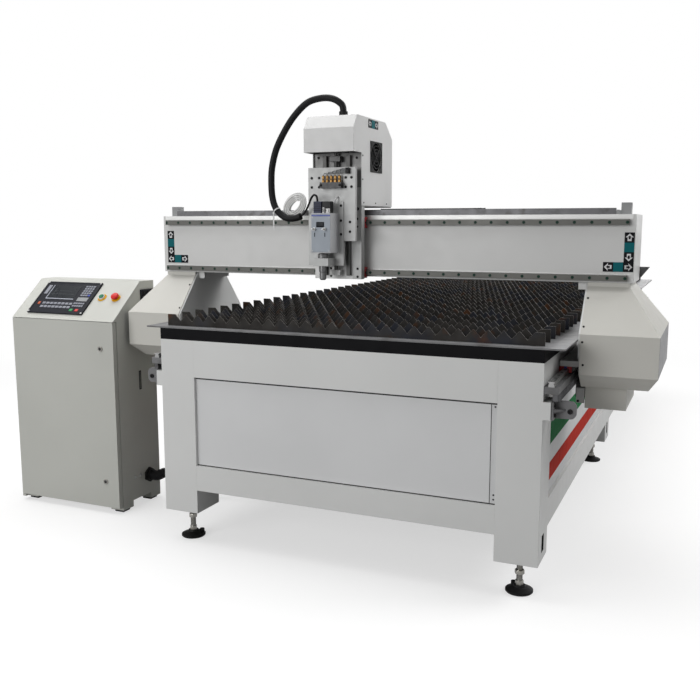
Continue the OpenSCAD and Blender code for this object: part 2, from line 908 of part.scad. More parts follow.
module control_chassis() {
    stand_off = 20;
    plate_y = console_y1 - console_t - stand_off;
    plate_in = 40;
    plate_z = [door_z0 + 55, slope_z - 62];
    drive = [80, 110, 190];
    supply = [220, 90, 140];
    breaker = [130, 70, 120];
    color("lightsteelblue") {
        span([console_x0 + plate_in, plate_y, plate_z[0]], [console_x1 - plate_in, plate_y + 4, plate_z[1]]);
        for (x = [console_x0 + plate_in + 20, console_x1 - plate_in - 40])
            for (z = [plate_z[0] + 30, plate_z[1] - 40])
                rod([x, plate_y + 3, z], stand_off - 3, 6, "y");
        for (i = [0:3])
            translate([console_x0 + plate_in + 30 + i * 110, plate_y - drive[1], plate_z[1] - 90 - drive[2]])
                cube(drive);
        translate([console_x0 + plate_in + 40, plate_y - supply[1], plate_z[0] + 110])
            cube(supply);
        translate([console_x0 + plate_in + 300, plate_y - breaker[1], plate_z[0] + 120])
            cube(breaker);
    }
}

module controller() {
    frame = 8;
    color([0.12, 0.12, 0.13])
        on_slope(panel_x, panel_s)
            difference() {
                union() {
                    cube([panel_w, panel_len, panel_thick]);
                    translate([12 + seat, 12 + seat, -45])
                        cube([panel_w - 24 - 2 * seat, panel_len - 24 - 2 * seat, 46]);
                }
                translate([frame, frame, panel_thick - 1])
                    cube([panel_w - 2 * frame, panel_len - 2 * frame, 2]);
            }
}

module button_bezels() {
    color("gold")
        for (x = [start_x, stop_x])
            on_slope(x, button_s)
                difference() {
                    cylinder(r1 = button_r + 7, r2 = button_r + 5, h = 4);
                    translate([0, 0, -1])
                        cylinder(r = button_r + seat, h = 6);
                }
}

module vent_grille() {
    frame = 8;
    bars = 7;
    gap = (vent[1] - 2 * frame) / bars;
    color([0.1, 0.1, 0.1])
        difference() {
            span([console_x1, vent_y - vent[0] / 2, vent_z - vent[1] / 2],
                [console_x1 + 6, vent_y + vent[0] / 2, vent_z + vent[1] / 2]);
            translate([console_x1 - 1, vent_y - vent[0] / 2 + frame, vent_z - vent[1] / 2 + frame])
                for (i = [0:bars - 1])
                    translate([0, 0, (i + 0.2) * gap])
                        cube([8, vent[0] - 2 * frame, gap * 0.6]);
        }
}

module conduit() {
    color([0.08, 0.08, 0.08])
        translate(conduit_start)
            ribbed_hose(smooth(conduit_run, 10), conduit_d / 2, 3, conduit_d / 2 - 6, 8, [0, 0, 1]);
}

// A gland on a wall at the origin, reaching along +X to where the hose meets it
module gland() {
    nut = 10;
    difference() {
        union() {
            rod([0, 0, 0], gland_l, conduit_d / 2 + 3, "x");
            rotate([0, 90, 0])
                cylinder(r = conduit_d / 2 + 12, h = nut, $fn = 6);
        }
        rod([-1, 0, 0], gland_l + 2, conduit_d / 2 - 6, "x");
    }
}

module conduit_glands() {
    color([0.12, 0.12, 0.12]) {
        translate(conduit_start - [gland_l, 0, 0])
            gland();
        translate(conduit_end + [gland_l, 0, 0])
            mirror([1, 0, 0])
                gland();
    }
}

module console_door() {
    block = pivot_l + 3;
    low = [console_x0 + 1, console_y, door_z0];
    high = [door_x1, door_y1, door_z1];
    inner = [console_t, console_t, console_t];
    color("gainsboro")
        difference() {
            union() {
                difference() {
                    span(low, high);
                    span(low + inner, [high[0] - console_t, high[1] + 1, high[2] - console_t]);
                }
                for (z = [door_z0, door_z1 - block])
                    span([low[0], console_y, z], [console_x0 + hinge_lug, door_y1, z + block]);
            }
            rod([pivot_x, pivot_y, door_z0 - 1], pivot_l, pivot_r + bore_gap);
            rod([pivot_x, pivot_y, door_z1 + 1 - pivot_l], pivot_l, pivot_r + bore_gap);
            for (z = lock_zs)
                rod([lock_x, console_y - 1, z], console_t + 2, lock_r + bore_gap, "y");
        }
}

// A quarter-turn lock: round head, barrel, and a cam behind the shell's lip
module lock(z) {
    head_r = 12;
    cam_y = shell_y + console_t + 1;
    color("silver")
        translate([lock_x, console_y, z]) {
            difference() {
                translate([0, -4, 0])
                    rotate([-90, 0, 0])
                        cylinder(r = head_r, h = 4 - seat);
                translate([-8, -5, -1.2])
                    cube([16, 3, 2.4]);
            }
            translate([0, -1, 0])
                rotate([-90, 0, 0])
                    cylinder(r = lock_r, h = cam_y - console_y + 5);
            translate([-9, cam_y - console_y, -9])
                cube([18, 4, lock_cam]);
        }
}

module upper_lock() {
    lock(lock_zs[1]);
}

module lower_lock() {
    lock(lock_zs[0]);
}

module start_button() {
    color("limegreen")
        on_slope(start_x, button_s)
            translate([0, 0, -16])
                cylinder(r = button_r, h = 26);
}

module stop_button() {
    stem = 26;
    color("red")
        on_slope(stop_x, button_s)
            rotate_extrude()
                polygon([[0, -16], [button_r, -16], [button_r, stem - 16], [18, stem - 15], [19, stem - 11],
                    [16, stem - 6], [8, stem - 3], [0, stem - 2]]);
}

module gantry_beam() {
    color("white") {
        tube_box([-beam_l / 2, beam_front, beam_z], [beam_l / 2, beam_back, beam_top], beam_wall, 0);
        both_sides()
            span([beam_l / 2, beam_front, beam_z], [beam_l / 2 + end_plate_t, beam_back, beam_top]);
    }
}

module x_rails() {
    color("gray")
        for (z = x_rail_z)
            translate([-beam_l / 2 + x_rail_end, beam_front, z])
                rotate([90, 0, 90])
                    linear_extrude(beam_l - 2 * x_rail_end)
                        rotate(90)
                            polygon(rail_section(rail_w, rail_h));
}

module x_rack() {
    half = beam_l / 2 - 60;
    color("darkgray")
        for (i = [0, 1])
            translate([0, x_rack_y, beam_top])
                linear_extrude(rack_h - 3)
                    rack_outline(-half + i * half + seat / 2, i * half - seat / 2, head_x);
}

module chain_tray() {
    y0 = beam_back - tray_back;
    wall = chain_tray_t;
    color("gray") {
        difference() {
            span([-chain_tray_half, y0, beam_top], [chain_tray_half, beam_back, beam_top + chain_tray_h]);
            span([-chain_tray_half - 1, y0 + wall, beam_top + wall],
                [chain_tray_half + 1, beam_back - wall, beam_top + chain_tray_h + 1]);
        }
        both_sides()
            span([chain_tray_half + 16, gantry_y - 86, beam_top],
                [chain_tray_half + 16 + post_w, gantry_y - 46, beam_top + post_h]);
    }
}

// One link of the drag chain, lying on its side, hollow along X
module chain_link() {
    difference() {
        translate([seat / 2, -chain_w / 2, 0])
            cube([chain_pitch - seat, chain_w, chain_h]);
        translate([-1, -chain_w / 2 + 3, 4])
            cube([chain_pitch + 2, chain_w - 6, chain_h - 8]);
    }
}

module drag_chain() {
    floor_z = beam_top + chain_tray_t;
    run_y = beam_back - tray_back + 20;
    anchor_x = 0;
    bend_x = (chain_free + head_x + anchor_x) / 2;
    carried = floor((bend_x - head_x - 90) / chain_pitch);
    laid = floor((bend_x - anchor_x) / chain_pitch);
    turns = 4;
    color([0.08, 0.08, 0.08])
        translate([bend_x, run_y, floor_z]) {
            for (i = [1:carried])
                translate([-i * chain_pitch, 0, 0])
                    chain_link();
            for (i = [1:laid])
                translate([-i * chain_pitch, 2 * chain_bend, 0])
                    chain_link();
            for (i = [0:turns - 1])
                translate([0, chain_bend, 0])
                    rotate(-90 + (i + 0.5) * 180 / turns)
                        translate([chain_bend - chain_w / 2, -7, 0])
                            cube([chain_w, 14, chain_h]);
        }
}

module gantry_legs() {
    foot_half = carriage_l / 2;
    top_half = beam_d / 2 - 20;
    band_half = housing_l / 2 - housing_t - 1;
    neck_half = housing_neck - housing_t - 1;
    shelf = 29;
    right_edge = [[foot_half, carriage_top], [band_half, carriage_top + 20], [band_half, housing_roof],
        [neck_half, beam_z - seat - housing_eave], [top_half, beam_z]];
    count = len(right_edge);
    color("lightgray")
        both_sides() {
            side_profile(concat(
                [for (p = right_edge) [gantry_y + p[0], p[1]]],
                [for (i = [count - 1:-1:0]) [gantry_y - right_edge[i][0], right_edge[i][1]]]), gleg_x, gleg_out);
            span([gleg_x - shelf, gantry_y - top_half, beam_z - 28], [gleg_x, gantry_y + top_half, beam_z]);
        }
}

module y_carriages() {
    slack = 5;
    color("lightgray")
        both_sides()
            difference() {
                span([carriage_x, gantry_y - carriage_l / 2, carriage_z],
                    [drive_x + motor_w / 2 + 30, gantry_y + carriage_l / 2, carriage_top]);
                translate([drive_x - motor_w / 2 - slack, gantry_y - motor_w / 2 - slack, carriage_z - 1])
                    cube([motor_w + 2 * slack, motor_w + 2 * slack, plate_t + 2]);
            }
}

module y_blocks() {
    color("dimgray")
        both_sides()
            for (y = [gantry_y - carriage_l / 2 + 20, gantry_y + carriage_l / 2 - 20 - block_l])
                translate([rail_x, y + block_l, ledge_top])
                    rotate([90, 0, 0])
                        linear_extrude(block_l)
                            polygon(block_section(block_w, rail_w, rail_h, 4, block_h));
}

// The plate that meets a stop's buffer, on its arm from the gearbox
module strike() {
    arm_x = strike_x + (strike_w - strike_arm) / 2;
    arm_z = gearbox_z + (gearbox_h - strike_arm) / 2;
    union() {
        span([strike_x, strike_y, gearbox_z], [strike_x + strike_w, strike_y + hanger_t, gearbox_z + gearbox_h]);
        span([arm_x, strike_y + hanger_t - 1, arm_z],
            [arm_x + strike_arm, gantry_y - gearbox_w / 2, arm_z + strike_arm]);
    }
}

// Gearboxes, hangers, motors and strike plates of the gantry's two drives
module y_drives() {
    box_top = gearbox_z + gearbox_h;
    color("dimgray")
        both_sides() {
            difference() {
                span([pinion_x - 35, gantry_y - gearbox_w / 2, gearbox_z],
                    [drive_x + motor_w / 2, gantry_y + gearbox_w / 2, box_top]);
                rod([pinion_x, gantry_y, box_top - 20], 21, pinion_bore + bore_gap);
            }
            for (y = [gantry_y - gearbox_w / 2, gantry_y + gearbox_w / 2 - hanger_t])
                span([drive_x - motor_w / 2, y, box_top], [drive_x + motor_w / 2, y + hanger_t, carriage_z]);
            span([drive_x - motor_w / 2, gantry_y - motor_w / 2, box_top],
                [drive_x + motor_w / 2, gantry_y + motor_w / 2, box_top + motor_h]);
            for (s = [0, 1])
                translate([0, 2 * s * gantry_y, 0])
                    mirror([0, s, 0])
                        strike();
        }
}

// One end housing, to the right: an open shell with a hipped top and a lower box
module housing() {
    y0 = gantry_y - housing_l / 2;
    y1 = gantry_y + housing_l / 2;
    top = beam_z - seat;
    roof_out = housing_x + 145;
    t = housing_t;
    // Section across the gantry, then section along the table, each shrunk by a wall
    function across(w) = [
        [housing_x - (w > 0 ? 1 : 0), housing_bottom + w], [housing_out - 34 - w, housing_bottom + w],
        [housing_out - w, housing_low], [housing_out - w, housing_roof], [roof_out - w, top - housing_eave],
        [roof_out - w, top + (w > 0 ? 1 : 0)], [housing_x - (w > 0 ? 1 : 0), top + (w > 0 ? 1 : 0)]];
    function lengthwise(w) = [
        [y0 + housing_hip + w, housing_bottom + w], [y0 + w, housing_low], [y0 + w, housing_roof],
        [gantry_y - housing_neck + w, top - housing_eave], [gantry_y - housing_neck + w, top + (w > 0 ? 1 : 0)],
        [gantry_y + housing_neck - w, top + (w > 0 ? 1 : 0)], [gantry_y + housing_neck - w, top - housing_eave],
        [y1 - w, housing_roof], [y1 - w, housing_low], [y1 - housing_hip - w, housing_bottom + w]];
    module hipped(w, more) {
        intersection() {
            front_profile(across(w), y0 - 1, y1 + 1);
            side_profile(lengthwise(w), housing_x - more, housing_out + 1);
        }
    }
    box_half = drive_box_l / 2;
    tab = [4, 66, 24];
    difference() {
        union() {
            hipped(0, 0);
            span([drive_box_x[0], gantry_y - box_half, drive_box_bottom],
                [drive_box_x[1], gantry_y + box_half, housing_bottom + 1]);
        }
        hipped(t, 1);
        span([drive_box_x[0] - 1, gantry_y - box_half + t, drive_box_bottom + t],
            [drive_box_x[1] - t, gantry_y + box_half - t, housing_bottom + t + 1]);
        span([housing_x - 1, gantry_y - box_half + t, housing_bottom - 1],
            [drive_box_x[0] + 1, gantry_y + box_half - t, housing_bottom + t + 1]);
    }
    for (s = [0, 1])
        translate([0, s * 2 * gantry_y, 0])
            mirror([0, s, 0])
                translate([gleg_out, y0 + t - 1, carriage_top + 20])
                    cube(tab);
}

module right_housing() {
    color("ivory")
        housing();
}

module left_housing() {
    color("ivory")
        mirror([1, 0, 0])
            housing();
}

// A pinion on its shaft; the shaft runs down into the gearbox
module y_pinion() {
    gear_z = rack_top - rack_h + 2;
    translate([pinion_x, gantry_y, 0]) {
        translate([0, 0, gear_z])
            rotate(180)
                pinion(pinion_h);
        translate([0, 0, gearbox_z + gearbox_h - 20 + seat])
            cylinder(r = pinion_bore, h = gear_z - gearbox_z - gearbox_h + 20 + 1);
    }
}

module y_pinion_right() {
    color("slategray")
        y_pinion();
}

module y_pinion_left() {
    color("slategray")
        mirror([1, 0, 0])
            y_pinion();
}

module x_saddle() {
    support = [44, 30];
    color("lightgray")
        difference() {
            union() {
                span([head_x - head_w / 2, saddle_front, column_z],
                    [head_x + head_w / 2, saddle_back, column_top]);
                span([head_x - cover_half + cover_t + seat, saddle_back - 1, bridge_z],
                    [head_x + cover_half - cover_t - seat, cover_back - cover_t - seat, bridge_z + bridge_t]);
                for (z = [column_z + 16, column_top - 34])
                    translate([head_x - support[0] / 2, saddle_front - support[1], z])
                        cube([support[0], support[1] + 1, support_h]);
                span([head_x - 35, screw_y - 35, column_top], [head_x + 35, saddle_back, column_top + 8]);
            }
            rod([head_x, x_pinion_y, bridge_z - 1], bridge_t + 2, pinion_bore + bore_gap);
            rod([head_x, screw_y, column_z], support_h + 40, journal_r + bore_gap);
            rod([head_x, screw_y, column_top - 60], 80, journal_r + bore_gap);
        }
}

module x_blocks() {
    color("dimgray")
        for (z = x_rail_z)
            for (x = [head_x - head_w / 2 + 2, head_x + head_w / 2 - 2 - block_l])
                translate([x, beam_front, z])
                    rotate([90, 0, 90])
                        linear_extrude(block_l)
                            rotate(90)
                                polygon(block_section(block_w, rail_w, rail_h, 4, block_h));
}

module z_rails() {
    color("dimgray")
        for (s = [-1, 1])
            translate([head_x + s * z_rail_x, saddle_front, column_z + 14])
                linear_extrude(column_h - 24)
                    rotate(180)
                        polygon(rail_section(z_rail_w, z_rail_h));
}

module head_cover() {
    t = cover_t;
    visor_z = column_top - 2;
    neck_y = saddle_front - 9;
    // Side view of the cover; its inner space runs out below and at the front
    function profile(w, open) = [
        [visor_front + w, visor_z - open], [visor_front + w, visor_z + visor_h - w / 3],
        [visor_front + cover_chamfer[0] + w / 3, cover_top - w],
        [cover_back - cover_rear[0] - w / 3, cover_top - w],
        [cover_back - w, cover_top - cover_rear[1] - w / 3], [cover_back - w, cover_low - open],
        [neck_y - open, cover_low - open], [neck_y - open, visor_z - open]];
    color("whitesmoke")
        difference() {
            side_profile(profile(0, 0), head_x - cover_half, head_x + cover_half);
            side_profile(profile(t, 9), head_x - cover_half + t, head_x + cover_half - t);
            rod([head_x + cover_half - t - 1, fan_y, fan_z], t + 2, fan_r, "x");
            rod([gland_x, gland_y, cover_top - t - 1], t + 2, hose_d / 2 - 2);
        }
}

module head_motors() {
    z_motor = 56;
    color("dimgray") {
        translate([head_x - z_motor / 2, screw_y - z_motor / 2, column_top + 8])
            cube([z_motor, z_motor, 90]);
        translate([head_x - motor_w / 2, x_pinion_y - motor_w / 2, bridge_z + bridge_t])
            cube([motor_w, motor_w, 150]);
    }
}

// Fan body inside the cover, with a guard outside
module head_fan_frame() {
    wall_in = head_x + cover_half - cover_t;
    wall_out = head_x + cover_half;
    arm = 8;
    guard = 3;
    color([0.1, 0.1, 0.1]) {
        difference() {
            translate([wall_in - fan_t, fan_y - fan_w / 2, fan_z - fan_w / 2])
                cube([fan_t, fan_w, fan_w]);
            rod([wall_in - fan_t - 1, fan_y, fan_z], fan_t + 2, fan_r, "x");
        }
        difference() {
            union() {
                for (a = [0, 90])
                    translate([wall_in - fan_t, fan_y, fan_z])
                        rotate([a, 0, 0])
                            translate([0, -fan_r - 1, -arm / 2])
                                cube([4, 2 * fan_r + 2, arm]);
                rod([wall_in - fan_t, fan_y, fan_z], 4, 20, "x");
            }
            rod([wall_in - fan_t - 1, fan_y, fan_z], 6, 3 + bore_gap, "x");
        }
        difference() {
            translate([wall_out, fan_y - fan_w / 2, fan_z - fan_w / 2])
                cube([guard, fan_w, fan_w]);
            difference() {
                rod([wall_out - 1, fan_y, fan_z], guard + 2, fan_r, "x");
                for (r = [18, 31, 44])
                    difference() {
                        rod([wall_out - 2, fan_y, fan_z], guard + 4, r + 1.5, "x");
                        rod([wall_out - 3, fan_y, fan_z], guard + 6, r - 1.5, "x");
                    }
                for (a = [45, 135])
                    translate([wall_out - 2, fan_y, fan_z])
                        rotate([a, 0, 0])
                            translate([0, -fan_r, -2])
                                cube([guard + 4, 2 * fan_r, 4]);
            }
        }
    }
}

module head_fan_rotor() {
    blades = 7;
    hub = 19;
    in_x = head_x + cover_half - cover_t - fan_t;
    color([0.14, 0.14, 0.14])
        translate([in_x, fan_y, fan_z]) {
            rod([4 + seat, 0, 0], fan_t - 8, hub, "x");
            rod([0, 0, 0], 6, 3, "x");
            for (i = [0:blades - 1])
                rotate([i * 360 / blades, 0, 0])
                    translate([fan_t / 2, 0, hub - 2])
                        rotate([0, 0, 40])
                            translate([-9, -1, 0])
                                cube([18, 2, fan_r - hub]);
        }
}

module hose_gland() {
    color([0.1, 0.1, 0.1])
        translate([gland_x, gland_y, cover_top]) {
            difference() {
                union() {
                    cylinder(r = hose_d / 2 + 9, h = 9, $fn = 6);
                    cylinder(r = hose_d / 2 + 4, h = gland_h);
                }
                translate([0, 0, -1])
                    cylinder(r = hose_d / 2 - 2, h = gland_h + 2);
            }
        }
}

module torch_hose() {
    color([0.07, 0.07, 0.07])
        translate(hose_start)
            cord(smooth(hose_route, 3), hose_d / 2, hose_sides, [0, 1, 0]);
}

// A hank of thin tube: oval loops that wind out in one layer and back in the next
function coil_place(turn) = let (
        out = turn < coil_turns ? turn : 2 * coil_turns + 0.5 - turn,
        s = max(0, min(coil_turns, out)),
        climb = max(0, min(1, (turn - coil_turns) * 2)),
        a = 360 * turn)
    [(coil_size[0] + s * coil_step) * cos(a), climb * coil_step, (coil_size[1] + s * coil_step) * sin(a)];
coil_rings = 24 * (2 * coil_turns + 0.5);
coil_points = [for (i = [0:coil_rings]) coil_place(i / 24)];
function least_gap(p) = min([for (i = [0:3:len(p) - 14])
    for (j = [i + 13:1:len(p) - 1])
        norm(p[i] - p[j])]) - coil_tube;

module tube_coil() {
    echo(least_coil_gap = least_gap(coil_points));
    color("white")
        translate(coil_middle)
            rotate([0, -coil_tilt, 0])
                cord(coil_points, coil_tube / 2, coil_sides, [0, 1, 0]);
}

module signal_cable() {
    color([0.07, 0.07, 0.07])
        translate(hose_end)
            cord(smooth(cable_route, 4), 4, 8, [0, 1, 0]);
}

module x_pinion() {
    color("slategray")
        translate([head_x, x_pinion_y, beam_top + 2]) {
            rotate(-90)
                pinion(pinion_h - 3);
            cylinder(r = pinion_bore, h = bridge_z + bridge_t - beam_top - 2 - seat);
        }
}

module z_screw() {
    bottom = column_z + 16;
    color("silver")
        translate([head_x, screw_y, 0]) {
            translate([0, 0, bottom])
                cylinder(r = journal_r, h = column_top + 8 - seat - bottom);
            translate([0, 0, bottom + support_h + seat])
                cylinder(r = screw_r, h = column_top - 34 - seat - bottom - support_h - seat);
        }
}

// Lift plate with its blocks, screw nut, oil manifold, torch clamp and the strip beside the height control box
module z_plate() {
    left = lift_x - lift_w / 2;
    right = lift_x + lift_w / 2;
    step_x = lift_x + lift_step_x;
    outline = [[left, lift_z], [step_x, lift_z], [step_x, lift_step_z], [right, lift_step_z], [right, lift_top],
        [left, lift_top]];
    nut = [40, saddle_front - lift_back - 2, 40];
    clamp_half = 32;
    manifold = [90, 24, manifold_h];
    color("lightgray")
        difference() {
            union() {
                front_profile(outline, lift_front, lift_back);
                for (s = [-1, 1])
                    for (z = [lift_step_z + 5, lift_top - 85])
                        translate([head_x + s * z_rail_x, saddle_front, z])
                            linear_extrude(70)
                                rotate(180)
                                    polygon(block_section(34, z_rail_w, z_rail_h, 4, z_block_h + 1));
                translate([head_x - nut[0] / 2, lift_back - 1, nut_z])
                    cube(nut);
                span([torch_x - clamp_half, torch_y - torch_d / 2 - 7, lift_z],
                    [torch_x + clamp_half, lift_front + 1, lift_z + clamp_h]);
                translate([head_x - manifold[0] / 2, lift_front - manifold[1], manifold_z])
                    cube(manifold + [0, 1, 0]);
                span([box_x + box_w, lift_front - strip_t, box_z - 2],
                    [box_x + box_w + strip_w, lift_front + 1, box_z + box_h + 44]);
                for (i = [0:fittings - 1])
                    rod([head_x + (i - 2) * 17, lift_front - 13, manifold_z + manifold_h - 1], 26, 5);
            }
            rod([head_x, screw_y, nut_z - 1], nut[2] + 2, screw_r + bore_gap);
            rod([torch_x, torch_y, lift_z - 1], clamp_h + 2, torch_d / 2 + bore_gap);
        }
}

// Height control box with two plugs and two toggle bushes
module height_box() {
    front = lift_front - box_d;
    top = box_z + box_h;
    plug = [32, 30, 45];
    bush = 10;
    color("lightsteelblue")
        difference() {
            union() {
                translate([box_x, front, box_z])
                    cube([box_w, box_d, box_h]);
                for (x = [4, 41])
                    translate([box_x + x, front + 14, top - 1])
                        cube(plug);
                for (x = toggle_x)
                    rod([x, front - bush, toggle_z], bush + 1, toggle_r + 2, "y");
            }
            for (x = toggle_x)
                rod([x, front - bush - 1, toggle_z], bush + 5, toggle_r + seat / 2, "y");
        }
}

module toggle(x) {
    color("silver")
        translate([x, toggle_y, toggle_z]) {
            sphere(r = toggle_r);
            rod([-toggle_r, 0, 0], 2 * toggle_r, 1, "x");
            rotate([90, 0, 0])
                cylinder(r = 2, h = 22);
        }
}

module toggle_left() {
    toggle(toggle_x[0]);
}

module toggle_right() {
    toggle(toggle_x[1]);
}

module torch() {
    r = torch_d / 2;
    body_z = lift_z + clamp_h + seat - torch_z;
    body_r = r + 4;
    color("gray")
        translate([torch_x, torch_y, torch_z])
            rotate_extrude()
                polygon([[0, 0], [r - 6, 0], [r - 2, 5], [r - 2, 30], [r, 32], [r, body_z], [body_r, body_z],
                    [body_r, torch_h - 3], [body_r - 3, torch_h], [0, torch_h]]);
}

place() legs();
place() upper_beams();
place() lower_beams();
place() front_panel();
place() side_panels();
place() bed_rim();
place() bed_flanges();
place() slat_combs();
place() slats();
place() slag_trays();
place() y_ledges();
place() y_rails();
place() y_racks();
place() stop_brackets();
place() stop_buffers();
place() foot_pads();
place() foot_studs();
place() console_shell();
place() control_chassis();
place() controller();
place() button_bezels();
place() vent_grille();
place() conduit();
place() conduit_glands();
place() console_door();
place() upper_lock();
place() lower_lock();
place() start_button();
place() stop_button();
place() gantry_beam();
place() x_rails();
place() x_rack();
place() chain_tray();
place() drag_chain();
place() gantry_legs();
place() y_carriages();
place() y_blocks();
place() y_drives();
place() left_housing();
place() right_housing();
place() y_pinion_left();
place() y_pinion_right();
place() x_saddle();
place() x_blocks();
place() z_rails();
place() head_cover();
place() head_motors();
place() head_fan_frame();
place() hose_gland();
place() torch_hose();
place() tube_coil();
place() signal_cable();
place() x_pinion();
place() z_screw();
place() head_fan_rotor();
place() z_plate();
place() height_box();
place() torch();
place() toggle_left();
place() toggle_right();
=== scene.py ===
import json
import math

import bmesh
import bpy
from mathutils import Matrix, Vector


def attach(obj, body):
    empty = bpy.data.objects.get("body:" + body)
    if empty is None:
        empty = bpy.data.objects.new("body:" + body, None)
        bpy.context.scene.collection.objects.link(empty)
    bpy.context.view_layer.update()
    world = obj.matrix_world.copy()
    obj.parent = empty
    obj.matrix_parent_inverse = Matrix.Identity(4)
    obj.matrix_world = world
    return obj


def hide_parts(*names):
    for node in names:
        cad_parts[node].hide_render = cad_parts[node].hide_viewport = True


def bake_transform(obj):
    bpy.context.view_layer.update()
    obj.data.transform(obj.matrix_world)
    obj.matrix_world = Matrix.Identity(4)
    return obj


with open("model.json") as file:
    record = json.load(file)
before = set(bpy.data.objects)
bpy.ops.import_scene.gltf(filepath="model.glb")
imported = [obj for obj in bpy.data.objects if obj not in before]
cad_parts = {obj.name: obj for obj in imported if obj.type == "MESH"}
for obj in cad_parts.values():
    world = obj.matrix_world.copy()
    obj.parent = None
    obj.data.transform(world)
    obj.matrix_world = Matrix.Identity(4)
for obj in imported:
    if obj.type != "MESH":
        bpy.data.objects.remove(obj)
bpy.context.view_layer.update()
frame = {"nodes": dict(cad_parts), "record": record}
nodes = frame["nodes"]
record = frame["record"]
scene = bpy.context.scene
print("frame loaded:", len(nodes), "nodes")

# mm turns millimetres into metres; loc also moves from the table's middle and front to the part's origin
originX, originY = 293.5, -1900


def mm(x, y, z):
    return Vector((x, y, z)) / 1000


def loc(x, y, z):
    return mm(x + originX, y + originY, z)


# camera
cameraData = bpy.data.cameras.new("photoCamera")
cameraData.lens = 43.1416
cameraData.sensor_width = 36
cameraData.clip_end = 100
camera = bpy.data.objects.new("photoCamera", cameraData)
camera.location = loc(1252.557, -2726.52, 1276.711)
camera.rotation_euler = (math.pi / 2 - 0.148, 0, 0.411)
scene.collection.objects.link(camera)
scene.camera = camera
scene.view_settings.view_transform = "Standard"
print("camera set")

# materials, all on object coordinates in metres; a look gives what differs from the plain one
plainLook = {"toneDrop": 0.94, "toneScale": 2.5, "zones": [], "tintFrom": 0.5, "tintTo": 0.66,
             "stainFrom": 0.52, "stainTo": 0.68, "stainMost": 1, "edge": 0.0015, "rimFrom": 0.995,
             "rimTo": 0.9, "wearScale": 60, "wearFrom": 0.5, "wearTo": 0.62, "wearMost": 0.5, "metal": 0,
             "shine": 0.5, "rough": 0.45, "roughSpread": 0.08, "roughScale": 25, "bump": 0.08,
             "bumpDepth": 0.0006, "bumpScale": 700, "coat": 0, "coatRough": 0.2}
noiseSpan = (0.3, 0.7)  # where nearly all of a noise lies


